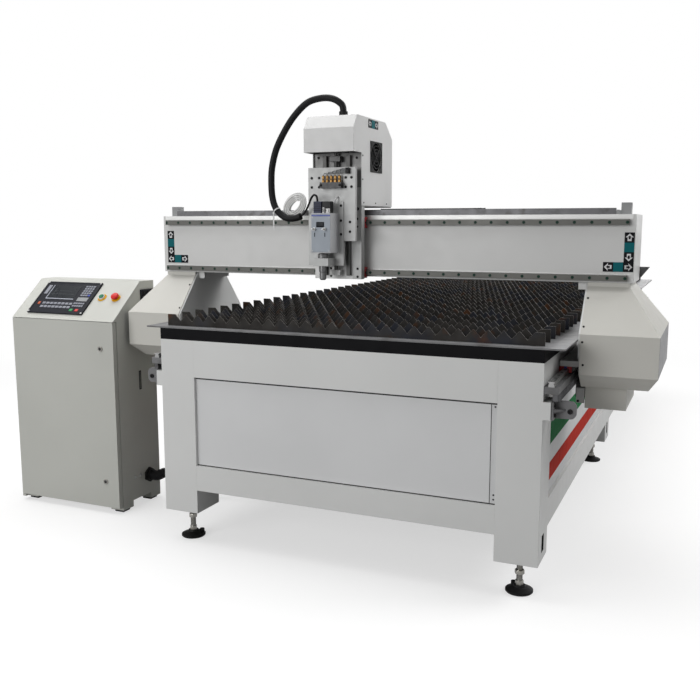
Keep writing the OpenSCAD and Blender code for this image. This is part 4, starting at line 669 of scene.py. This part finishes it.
# single screws, by the face they stand on
front, right, left = (0, -1, 0), (1, 0, 0), (-1, 0, 0)
slopeOut = (0, -157.7, 135)
liftPlaces = [(-210, 1456), (-178, 1456), (-66, 1456), (-42, 1456), (-210, 1421), (-178, 1421), (-66, 1421),
              (-42, 1421), (-48, 1288), (-48, 1251)]
saddlePlaces = [(-38, 1300), (-38, 1270), (-36, 1107), (-36, 1076), (-150, 1107), (-150, 1077), (-203, 1536),
                (-40, 1532)]
coverPlaces = [(306, 1540), (306, 1450), (317, 1362), (440, 1362), (560, 1362)]
housingPlaces = [(840, 233, 875, front), (845, 233, 795, front), (840, 254, 926.5, slopeOut),
                 (840, 334, 1020, slopeOut)]
screwSets = [
    {"name": "liftScrews", "body": "z_slide", "radius": 5.2, "height": 2.2, "material": "boltSteel",
     "places": [((x, 258, z), front) for x, z in liftPlaces]},
    {"name": "stripScrews", "body": "z_slide", "radius": 5.0, "height": 2.2, "material": "boltSteel",
     "places": [((-84, 254, z), front) for z in (1350, 1293, 1241)]},
    {"name": "saddleScrews", "body": "x_carriage", "radius": 4.8, "height": 2.2, "material": "boltSteel",
     "places": [((x, 305, z), front) for x, z in saddlePlaces]},
    {"name": "saddleLargeScrew", "body": "x_carriage", "radius": 6.4, "height": 3, "material": "boltSteel",
     "places": [((-36, 305, 1338), front)]},
    {"name": "coverScrews", "body": "x_carriage", "radius": 3.2, "height": 1.6, "material": "railBolt",
     "places": [((x, y, z), axis) for x, axis in ((-16, right), (-224, left)) for y, z in coverPlaces]},
    {"name": "housingScrews", "body": "gantry", "radius": 4.0, "height": 1.8, "material": "boltSteel",
     "places": [((s * x, y, z), axis) for s in (-1, 1) for x, y, z, axis in housingPlaces]},
    {"name": "strikeScrews", "body": "gantry", "radius": 4.5, "height": 3, "material": "boltSteel",
     "places": [((s * 821, y, 649), (0, d, 0)) for s in (-1, 1) for y, d in ((322, -1), (650, 1))]},
    {"name": "stopScrews", "body": "base", "radius": 8.5, "height": 6, "material": "boltSteel",
     "places": [((s * 837, y, 667), (0, d, 0)) for s in (-1, 1) for y, d in ((45, -1), (3755, 1))]},
    {"name": "stopFootScrews", "body": "base", "radius": 6.5, "height": 6, "material": "boltSteel",
     "places": [((s * 789, y, z), (s, 0, 0)) for s in (-1, 1) for y in (24, 3776) for z in (654, 688)]},
    {"name": "consoleSideScrews", "body": "base", "radius": 7.5, "height": 5, "material": "brightBolt",
     "places": [((-1114, y, 143), right) for y in (261, 299)]},
]


def addScrews(bm, screws):
    for base, axis in screws["places"]:
        addScrew(bm, loc(*base), axis, screws["radius"], screws["height"])


for screws in screwSets:
    makePiece(screws["name"], screws["body"], [screws["material"]],
              lambda bm: addScrews(bm, screws))
print("screws set")

# wipers on the ends of the guide blocks, each with a small plug
wiper = {"width": 43, "groove": 11.4, "roof": 19.4, "low": 5, "top": 29, "corner": 3, "thick": 4,
         "plug": (20, 28), "xRails": (1286, 1091), "xFace": 366, "xEnds": (-22, -222), "xPlug": (4, 0.6),
         "yRail": 780, "yFloor": 752, "yEnds": (277, 691), "yPlug": (5, 0.8)}


def wiperOutline():
    w, half, c = wiper, wiper["width"] / 2, wiper["corner"]
    return [(-half, w["low"]), (-w["groove"], w["low"]), (-w["groove"], w["roof"]), (w["groove"], w["roof"]),
            (w["groove"], w["low"]), (half, w["low"]), (half, w["top"] - c), (half - c, w["top"]),
            (c - half, w["top"]), (-half, w["top"] - c)]


def addWiper(bm, place, start, half, past):
    low, high = wiper["plug"]
    end = start + wiper["thick"]
    addPrism(bm, wiperOutline(), place, start, end)
    addPrism(bm, [(-half, low), (half, low), (half, high), (-half, high)], place, start - past, end + past, 1)


def xWipers(bm):
    for z in wiper["xRails"]:
        for x in wiper["xEnds"]:
            addWiper(bm, lambda u, v, d: loc(d, wiper["xFace"] - v, z + u), x, *wiper["xPlug"])


def yWipers(bm):
    for x in (-wiper["yRail"], wiper["yRail"]):
        for y in wiper["yEnds"]:
            addWiper(bm, lambda u, v, d: loc(x + u, d, wiper["yFloor"] + v), y, *wiper["yPlug"])


makePiece("xWipers", "x_carriage", ["sealRed", "boltSteel"], xWipers)
makePiece("yWipers", "gantry", ["sealRed", "sealBlue"], yWipers)

# axis signs: a black strip with hollow arrows and a plain middle square
sign = {
    "arrow": [(0.46, 0), (0.02, 0.44), (0.02, 0.22), (-0.4, 0.22), (-0.4, -0.22), (0.02, -0.22),
              (0.02, -0.44)],
    "arrows": ((0.17, -1), (0.83, 1)),  # share of the length, way it points
    "layers": ((0.9, 0.4, 0.6, 2), (0.45, 0.6, 0.75, 0)),  # size, from, to, material
    "square": (0.34, 0.66),
}


def addSign(bm, place, length, width):
    half = width / 2
    for a, b, low, high, mat in ((0, 1, 0, 0.4, 0), (*sign["square"], 0.4, 0.6, 1)):
        strip = [(a * length, -half), (b * length, -half), (b * length, half), (a * length, half)]
        addPrism(bm, strip, place, low, high, mat)
    for share, way in sign["arrows"]:
        for size, low, high, mat in sign["layers"]:
            shape = [(share * length + way * u * size * width, v * size * width) for u, v in sign["arrow"]]
            addPrism(bm, shape if way > 0 else shape[::-1], place, low, high, mat)


signs = {"left": (-970, -866), "right": (882, 985), "face": 366, "low": 1113, "width": 34, "tall": 104,
         "cover": (-16, 361, 1666), "coverSize": (103, 32)}


def beamSigns(bm):
    w, face, low = signs["width"], signs["face"], signs["low"]
    for side, cornerX in (("left", signs["left"][0] + w / 2), ("right", signs["right"][1] - w / 2)):
        x0, x1 = signs[side]
        addSign(bm, lambda u, v, d: loc(x0 + u, face - d, low + w / 2 + v), x1 - x0, w)
        addSign(bm, lambda u, v, d: loc(cornerX - v, face - d, low + w + u), signs["tall"], w)


def coverSign(bm):
    x, y, z = signs["cover"]
    addSign(bm, lambda u, v, d: loc(x + d, y + u, z + v), *signs["coverSize"])


signLooks = ["decalAndShadeBlack", "decalTeal", "decalWhite"]
makePiece("beamSigns", "gantry", signLooks, beamSigns)
makePiece("coverSign", "x_carriage", signLooks, coverSign)

# bright strips above the guide rails: partly the machined ledges, partly a painted highlight where the
# rounded beam edges catch the top light
strips = {"x": (-978, 978), "y": (365.2, 366), "z": [(1297.5, 1313.5), (1102, 1105)]}
makePiece("beamStrips", "gantry", ["ledgeAndHighlightWhite"],
          lambda bm: [addBox(bm, (strips["x"][0], strips["y"][0], z0), (strips["x"][1], strips["y"][1], z1))
                      for z0, z1 in strips["z"]])

# dark gusset behind the right end of the beam
gusset = {"outline": [(988, 1075), (1024, 1122), (988, 1122)], "y": (594, 602)}
makePiece("beamGusset", "gantry", ["gear_steel"],
          lambda bm: addPrism(bm, gusset["outline"], lambda u, v, d: loc(u, d, v), *gusset["y"]))

# coloured bands along the side panels
bands = {"face": 744, "thick": 0.5, "runs": [(162, 1817), (1983, 3638)], "green": (503, 585),
         "red": (370, 435)}


def sideBands(bm):
    for s in (-1, 1):
        for y0, y1 in bands["runs"]:
            for mat, (z0, z1) in enumerate((bands["green"], bands["red"])):
                ends = sorted((s * bands["face"], s * (bands["face"] + bands["thick"])))
                addBox(bm, (ends[0], y0, z0), (ends[1], y1, z1), mat)


makePiece("sideBands", "base", ["bandGreen", "bandRed"], sideBands)

# joints round the front panel, and the strip with small holes at its right edge
seams = {"y": (11.2, 12), "strip": (583, 330, 603.6, 676.5), "stripY": (11.4, 12),
         "joints": [(-604, 676.5, 604, 684), (-604, 326, 604, 330), (580.5, 330, 583, 676.5)],
         "holes": [(595, 669), (595.5, 360), (595.5, 344)],
         "hole": [(0, -0.4), (3.4, -0.4), (3.4, 0.3), (0, 0.3)]}


def panelSeams(bm):
    plates = [(joint, seams["y"], 0) for joint in seams["joints"]]
    for (x0, z0, x1, z1), (near, far), mat in plates + [(seams["strip"], seams["stripY"], 1)]:
        addBox(bm, (x0, near, z0), (x1, far, z1), mat)
    for x, z in seams["holes"]:
        addLathe(bm, loc(x, seams["stripY"][0], z), front, seams["hole"])


makePiece("panelSeams", "base", ["seamGrey", "sidePaint"], panelSeams)
print("signs and bands set")

# head: brass fittings with thin oil pipes into a clip
oil = {"x": (-154, -137, -120, -103, -86), "y": 245, "low": 1438, "top": 1463, "pipe": 1.6,
       "foot": [(0, 0), (6.6, 0), (6.6, 8), (5.8, 9), (0, 9)],
       "cap": [(0, 14), (5.9, 14), (5.9, 22), (5.2, 24), (4.2, 26), (0, 26)],
       "clip": ((-62, 244, 1470), (-48, 258, 1492)), "clipScrew": (-55, 244, 1488),
       "screws": [(-160, 234, 1427), (-80, 234, 1427)], "topPipe": 1488.5, "pipeStep": 4, "short": -95}


def oilFittings(bm):
    for x in oil["x"]:
        base = loc(x, oil["y"], oil["low"])
        addLathe(bm, base, (0, 0, 1), oil["foot"], 0, 24, hexed=(1, 2, 3))
        addLathe(bm, base, (0, 0, 1), oil["cap"], 0, 24, hexed=(1, 2))
    addBox(bm, *oil["clip"], 1, 1.2)
    addScrew(bm, loc(*oil["clipScrew"]), front, 3, 1.6, 1)
    for place in oil["screws"]:
        addScrew(bm, loc(*place), front, 5, 4, 1)


def addPipe(bm, points, radius):
    addTube(bm, smoothRoute(points, 6), lambda i: radius / 1000, 10, (0, 1, 0.02))


def oilPipes(bm):
    for i, x in enumerate(reversed(oil["x"])):
        y = oil["y"]
        z = oil["topPipe"] - oil["pipeStep"] * i
        bend = min(10, z - oil["top"] - 3)
        points = [loc(x, y, oil["top"]), loc(x, y, z - bend), loc(x + 3, y + 1, z - 3), loc(x + 12, y + 3, z),
                  loc(-70, y + 5.5, z), loc(-60, y + 6, z)]
        if x > oil["short"]:
            points[3] = loc(x + 8, y + 3, z - 0.6)
        addPipe(bm, points, oil["pipe"])


makePiece("oilFittings", "z_slide", ["brass", "boltSteel"], oilFittings)
makePiece("oilPipes", "z_slide", ["pipeGrey"], oilPipes)

# height box: face plate with stripe and display, small plugs, a short lead to the plate
box = {
    "front": 180,
    "plates": [
        {"low": (-174, 1174), "high": (-96, 1318), "out": (0, 0.6), "mat": 0, "bevel": 0},
        {"low": (-174, 1309), "high": (-96, 1315), "out": (0.6, 0.9), "mat": 1, "bevel": 0},
        {"low": (-154, 1268), "high": (-121, 1288), "out": (0.6, 1.6), "mat": 2, "bevel": 0.4},
        {"low": (-151, 1271), "high": (-124, 1285), "out": (1.6, 1.9), "mat": 3, "bevel": 0},
        {"low": (-162.6, 1232), "high": (-159.4, 1248), "out": (0.6, 0.8), "mat": 2, "bevel": 0},
        {"low": (-119.6, 1232), "high": (-116.4, 1248), "out": (0.6, 0.8), "mat": 2, "bevel": 0},
    ],
    "screws": [(x, z) for x in (-170, -100) for z in (1178, 1304)],
}
plugs = {
    "white": [(-131, -123, 1342), (-117, -102, 1338)],
    "y": (184, 193), "foot": 1321, "slitIn": 2, "slit": 0.8,
    "ribX": (-172.6, -139.4), "ribY": (193.4, 194.2), "ribs": (1330, 1337, 1344, 1351, 1358),
    "lead": [(-112, 236, 1320), (-111, 236, 1340), (-106, 238, 1362), (-100, 247, 1378), (-97, 259, 1384)],
    "leadRadius": 2.4,
}


def boxFace(bm):
    y = box["front"]
    for plate in box["plates"]:
        (x0, z0), (x1, z1), (back, out) = plate["low"], plate["high"], plate["out"]
        addBox(bm, (x0, y - out, z0), (x1, y - back, z1), plate["mat"], plate["bevel"])
    for x, z in box["screws"]:
        addScrew(bm, loc(x, y - 0.6, z), front, 2.2, 1.2, 4)


def boxPlugs(bm):
    near, far = plugs["y"]
    slit = plugs["slit"]
    for x0, x1, top in plugs["white"]:
        addBox(bm, (x0, near, plugs["foot"]), (x1, far, top), 0, 1)
        for x in (x0 + plugs["slitIn"], x1 - plugs["slitIn"]):
            addBox(bm, (x - slit, near - 0.6, plugs["foot"] + 5), (x + slit, near, top - 3), 1)
    for z in plugs["ribs"]:
        addBox(bm, (plugs["ribX"][0], plugs["ribY"][0], z), (plugs["ribX"][1], plugs["ribY"][1], z + 2), 1)
    addPipe(bm, [loc(*p) for p in plugs["lead"]], plugs["leadRadius"])


makePiece("boxFace", "z_slide",
          ["boxFace", "stripeBlue", "decalAndShadeBlack", "screenGlass", "brightBolt"], boxFace)
makePiece("boxPlugs", "z_slide", ["tieWhite", "boltSteel"], boxPlugs)

# strap that ties the hank to the hose, with its tail hanging
strap = {"at": (-358, 243, 1336), "along": (62, -12, -80),
         "ring": [(13.1, 0), (14.6, 0), (14.6, 5), (13.1, 5), (13.1, 0)],
         "lock": ((-366, 223.5, 1318), (-358, 230, 1326)), "tailY": (225.4, 226.8),
         "tail": [(-364.5, 1324), (-366, 1296), (-364.8, 1272), (-362, 1256), (-357.6, 1256), (-359.8, 1272),
                  (-361, 1296), (-359.5, 1324)]}


def hoseStrap(bm):
    addLathe(bm, loc(*strap["at"]), strap["along"], strap["ring"], 0, 32)
    addBox(bm, *strap["lock"], 0, 1)
    addPrism(bm, strap["tail"], lambda u, v, d: loc(u, d, v), *strap["tailY"])


makePiece("hoseStrap", "x_carriage", ["tieWhite"], hoseStrap)
print("head details set")

# console: controller face on the slope, the start button's cap and ring, collars round both buttons
slope = {"y": 149, "z": 862, "angle": math.atan2(165, 196)}
slopeNormal = (0, -math.sin(slope["angle"]), math.cos(slope["angle"]))


def onSlope(x, s, w):
    c, n = math.cos(slope["angle"]), math.sin(slope["angle"])
    return loc(x, slope["y"] + s * c - w * n, slope["z"] + s * n + w * c)


panel = {"x": -1612, "s": 32, "size": (312, 198), "face": 6, "key": 1.6, "screwU": (0.02, 0.98),
         "screwV": (0.03, 0.97)}
keyRows = [{"u": (0.16, 0.72), "v": (v, v + 0.065), "count": 8, "mat": 0} for v in (0.27, 0.16)]
keyRows += [{"u": (0.73, 0.93), "v": (v, v + 0.05), "count": 5, "mat": 0} for v in (0.30, 0.22)]
keyRows += [{"u": (0.75, 0.93), "v": (v, v + 0.05), "count": 4, "mat": 0} for v in (0.84, 0.77, 0.70, 0.63)]
keyRows += [
    {"u": (0.75, 0.885), "v": (0.56, 0.61), "count": 3, "mat": 0},
    {"u": (0.885, 0.93), "v": (0.56, 0.61), "count": 1, "mat": 3},
    {"u": (0.08, 0.13), "v": (0.26, 0.335), "count": 1, "mat": 2},
    {"u": (0.73, 0.80), "v": (0.08, 0.15), "count": 1, "mat": 4},
    {"u": (0.83, 0.90), "v": (0.08, 0.15), "count": 1, "mat": 5},
]
flats = [
    {"u": (0.17, 0.67), "v": (0.47, 0.87), "high": 0.6, "mat": 6},
    {"u": (0.155, 0.168), "v": (0.44, 0.88), "high": 0.9, "mat": 7},
    {"u": (0.168, 0.67), "v": (0.44, 0.466), "high": 0.9, "mat": 7},
    {"u": (0.06, 0.12), "v": (0.60, 0.88), "high": 0.4, "mat": 0},
    {"u": (0.74, 0.93), "v": (0.40, 0.52), "high": 0.4, "mat": 1},
    {"u": (0.20, 0.62), "v": (0.60, 0.605), "high": 0.7, "mat": 8},
    {"u": (0.24, 0.55), "v": (0.70, 0.704), "high": 0.7, "mat": 8},
    {"u": (0.24, 0.244), "v": (0.55, 0.80), "high": 0.7, "mat": 8},
]


def controlFace(bm):
    def spot(u, v):
        return panel["x"] + u * panel["size"][0], panel["s"] + v * panel["size"][1]

    low = panel["face"]
    for row in keyRows:
        u0, u1 = row["u"]
        step = (u1 - u0) / row["count"]
        for i in range(row["count"]):
            x0, s0 = spot(u0 + (i + 0.1) * step, row["v"][0])
            x1, s1 = spot(u0 + (i + 0.9) * step, row["v"][1])
            addBox(bm, (x0, s0, low), (x1, s1, low + panel["key"]), row["mat"], 0.6, onSlope)
    for part in flats:
        x0, s0 = spot(part["u"][0], part["v"][0])
        x1, s1 = spot(part["u"][1], part["v"][1])
        addBox(bm, (x0, s0, low), (x1, s1, low + part["high"]), part["mat"], 0, onSlope)
    for u in panel["screwU"]:
        for v in panel["screwV"]:
            addScrew(bm, onSlope(*spot(u, v), low + 1), slopeNormal, 4.2, 2, 9)


makePiece("controlFace", "base",
          ["keyGrey", "keyPale", "keyOrange", "keyBlue", "keyGreen", "keyRed", "screenGlass", "screenEdge",
           "screenTrace", "tieWhite"], controlFace)
button = {"x": -1255, "stopX": -1178, "s": 144,
          "cap": [(0, 8.4), (11.6, 8.4), (11.8, 9.4), (11.8, 11.2), (10.6, 12.4), (0, 11.6)],
          "ring": [(12.2, 4.1), (14.9, 4.1), (14.9, 9), (14.2, 10.4), (12.2, 10.4), (12.2, 4.1)],
          "collar": [(17.1, 0), (21.2, 0), (21.2, 2), (20, 3.2), (17.1, 3.2), (17.1, 0)]}
buttonFoot = onSlope(button["x"], button["s"], 0)
makePiece("startCap", "start_button", ["start_green"],
          lambda bm: addLathe(bm, buttonFoot, slopeNormal, button["cap"], 0, 40))
makePiece("startRing", "base", ["tieWhite"],
          lambda bm: addLathe(bm, buttonFoot, slopeNormal, button["ring"], 0, 40))
makePiece("buttonCollars", "base", ["bezel_yellow"],
          lambda bm: [addLathe(bm, onSlope(x, button["s"], 0), slopeNormal, button["collar"], 0, 48)
                      for x in (button["x"], button["stopX"])])

# black lips round the slot in the console's side: painted shade that makes the slot read dark and wide
sideSlot = {"x": (-1114, -1113), "y": (320, 326), "z": (543, 621), "lip": 4}


def slotLips(bm):
    (x0, x1), (y0, y1), (z0, z1), lip = sideSlot["x"], sideSlot["y"], sideSlot["z"], sideSlot["lip"]
    for lowY, lowZ, highY, highZ in ((y0 - lip, z0 - lip, y0, z1 + lip), (y1, z0 - lip, y1 + lip, z1 + lip),
                                     (y0, z0 - lip, y1, z0), (y0, z1, y1, z1 + lip)):
        addBox(bm, (x0, lowY, lowZ), (x1, highY, highZ))


makePiece("slotLips", "base", ["decalAndShadeBlack"], slotLips)

# dark plug with a key slot in each lock's face
lock = {"x": -1186, "face": 145, "heights": {"upper": 743, "lower": 146},
        "key": ((-1.2, -1, -4.4), (1.2, 0.4, 4.4)),
        "plug": [(0, -1), (7.5, -1), (7.5, 0.6), (6.8, 1.2), (5.2, 1.2), (5.2, 0.2), (0, 0.2)]}


def lockPlug(bm, z):
    addLathe(bm, loc(lock["x"], lock["face"], z), front, lock["plug"], 0, 28)
    addBox(bm, *lock["key"], 1, 0, lambda u, v, w: loc(lock["x"] + u, lock["face"] + v, z + w))


for lockName, z in lock["heights"].items():
    makePiece(f"{lockName}LockPlug", f"{lockName}_lock", ["threadSteel", "boltSteel"],
              lambda bm: lockPlug(bm, z))
print("console details set")


# studio: pale floor that keeps the shadow, white to the camera, soft lamps on the object
def between(tree, value, low, high, fromLow=0.0, fromHigh=1.0):
    node = tree.nodes.new("ShaderNodeMapRange")
    tree.links.new(value, node.inputs["Value"])
    for key, number in (("From Min", fromLow), ("From Max", fromHigh), ("To Min", low), ("To Max", high)):
        node.inputs[key].default_value = number
    return node.outputs["Result"]


def joined(tree, kind, first, second):
    node = tree.nodes.new("ShaderNodeMath")
    node.operation = kind
    tree.links.new(first, node.inputs[0])
    tree.links.new(second, node.inputs[1])
    return node.outputs["Value"]


def seenRays(tree, mirrored):
    path = tree.nodes.new("ShaderNodeLightPath")
    value = path.outputs["Is Camera Ray"]
    for name in ("Is Glossy Ray", "Is Transmission Ray"):
        value = joined(tree, "MAXIMUM", value, between(tree, path.outputs[name], 0, mirrored))
    return value


floorLook = {"litTone": 0.30, "seenTone": 0.45, "seenGlow": 0.58, "mirrored": 0.5, "rough": 0.9, "shine": 0.1,
             "fadeFrom": 2.6, "fadeTo": 5.0, "reach": 40, "height": -0.001}


def floorMaterial():
    mat = bpy.data.materials.new("floorPale")
    mat.use_nodes = True
    tree = mat.node_tree
    add = tree.nodes.new
    link = tree.links.new
    shader = tree.nodes["Principled BSDF"]
    shader.inputs["Roughness"].default_value = floorLook["rough"]
    shader.inputs["Specular IOR Level"].default_value = floorLook["shine"]
    shader.inputs["Emission Color"].default_value = (1, 1, 1, 1)
    seen = seenRays(tree, floorLook["mirrored"])
    link(between(tree, seen, floorLook["litTone"], floorLook["seenTone"]), shader.inputs["Base Color"])
    link(between(tree, seen, 0, floorLook["seenGlow"]), shader.inputs["Emission Strength"])
    coords = add("ShaderNodeTexCoord")
    away = add("ShaderNodeVectorMath")
    away.operation = "LENGTH"
    link(coords.outputs["Object"], away.inputs[0])
    far = between(tree, away.outputs["Value"], 0, 1, floorLook["fadeFrom"], floorLook["fadeTo"])
    white = add("ShaderNodeEmission")
    fade = add("ShaderNodeMixShader")
    link(joined(tree, "MULTIPLY", far, seen), fade.inputs["Fac"])
    link(shader.outputs["BSDF"], fade.inputs[1])
    link(white.outputs["Emission"], fade.inputs[2])
    link(fade.outputs["Shader"], tree.nodes["Material Output"].inputs["Surface"])
    return mat


floorMesh = bpy.data.meshes.new("floor")
floorCorners = [(x * floorLook["reach"], y * floorLook["reach"], floorLook["height"])
                for x, y in ((-1, -1), (1, -1), (1, 1), (-1, 1))]
floorMesh.from_pydata(floorCorners, [], [(0, 1, 2, 3)])
floorMesh.materials.append(floorMaterial())
floor = bpy.data.objects.new("floor", floorMesh)
scene.collection.objects.link(floor)

worldLook = {"light": 0.20, "seen": 1, "mirrored": 0.4}
world = bpy.data.worlds.new("studio")
scene.world = world
world.use_nodes = True
worldTree = world.node_tree
backdrop = worldTree.nodes["Background"]
backdrop.inputs["Color"].default_value = (1, 1, 1, 1)
worldSeen = seenRays(worldTree, worldLook["mirrored"])
worldTree.links.new(between(worldTree, worldSeen, worldLook["light"], worldLook["seen"]),
                    backdrop.inputs["Strength"])

lamps = [
    {"name": "topSoft", "at": (-1.4, -1.0, 5.6), "target": (0, -0.4, 0.5), "size": (5, 6), "power": 280},
    {"name": "frontSoft", "at": (-2.4, -7.8, 2.4), "target": (0, -1.4, 0.8), "size": (4, 3), "power": 185},
    {"name": "rightSoft", "at": (4.6, 0.9, 4.4), "target": (0.5, -0.8, 1.2), "size": (3, 2.5), "power": 170},
    {"name": "backSoft", "at": (0.3, 8.4, 2.6), "target": (0, 1.6, 0.7), "size": (4, 3), "power": 110},
]
for soft in lamps:
    data = bpy.data.lights.new(soft["name"], "AREA")
    data.shape = "RECTANGLE"
    data.size, data.size_y = soft["size"]
    data.energy = soft["power"]
    lamp = bpy.data.objects.new(soft["name"], data)
    lamp.location = soft["at"]
    aim = Vector(soft["target"]) - Vector(soft["at"])
    lamp.rotation_euler = aim.to_track_quat("-Z", "Y").to_euler()
    scene.collection.objects.link(lamp)
print("studio lit")
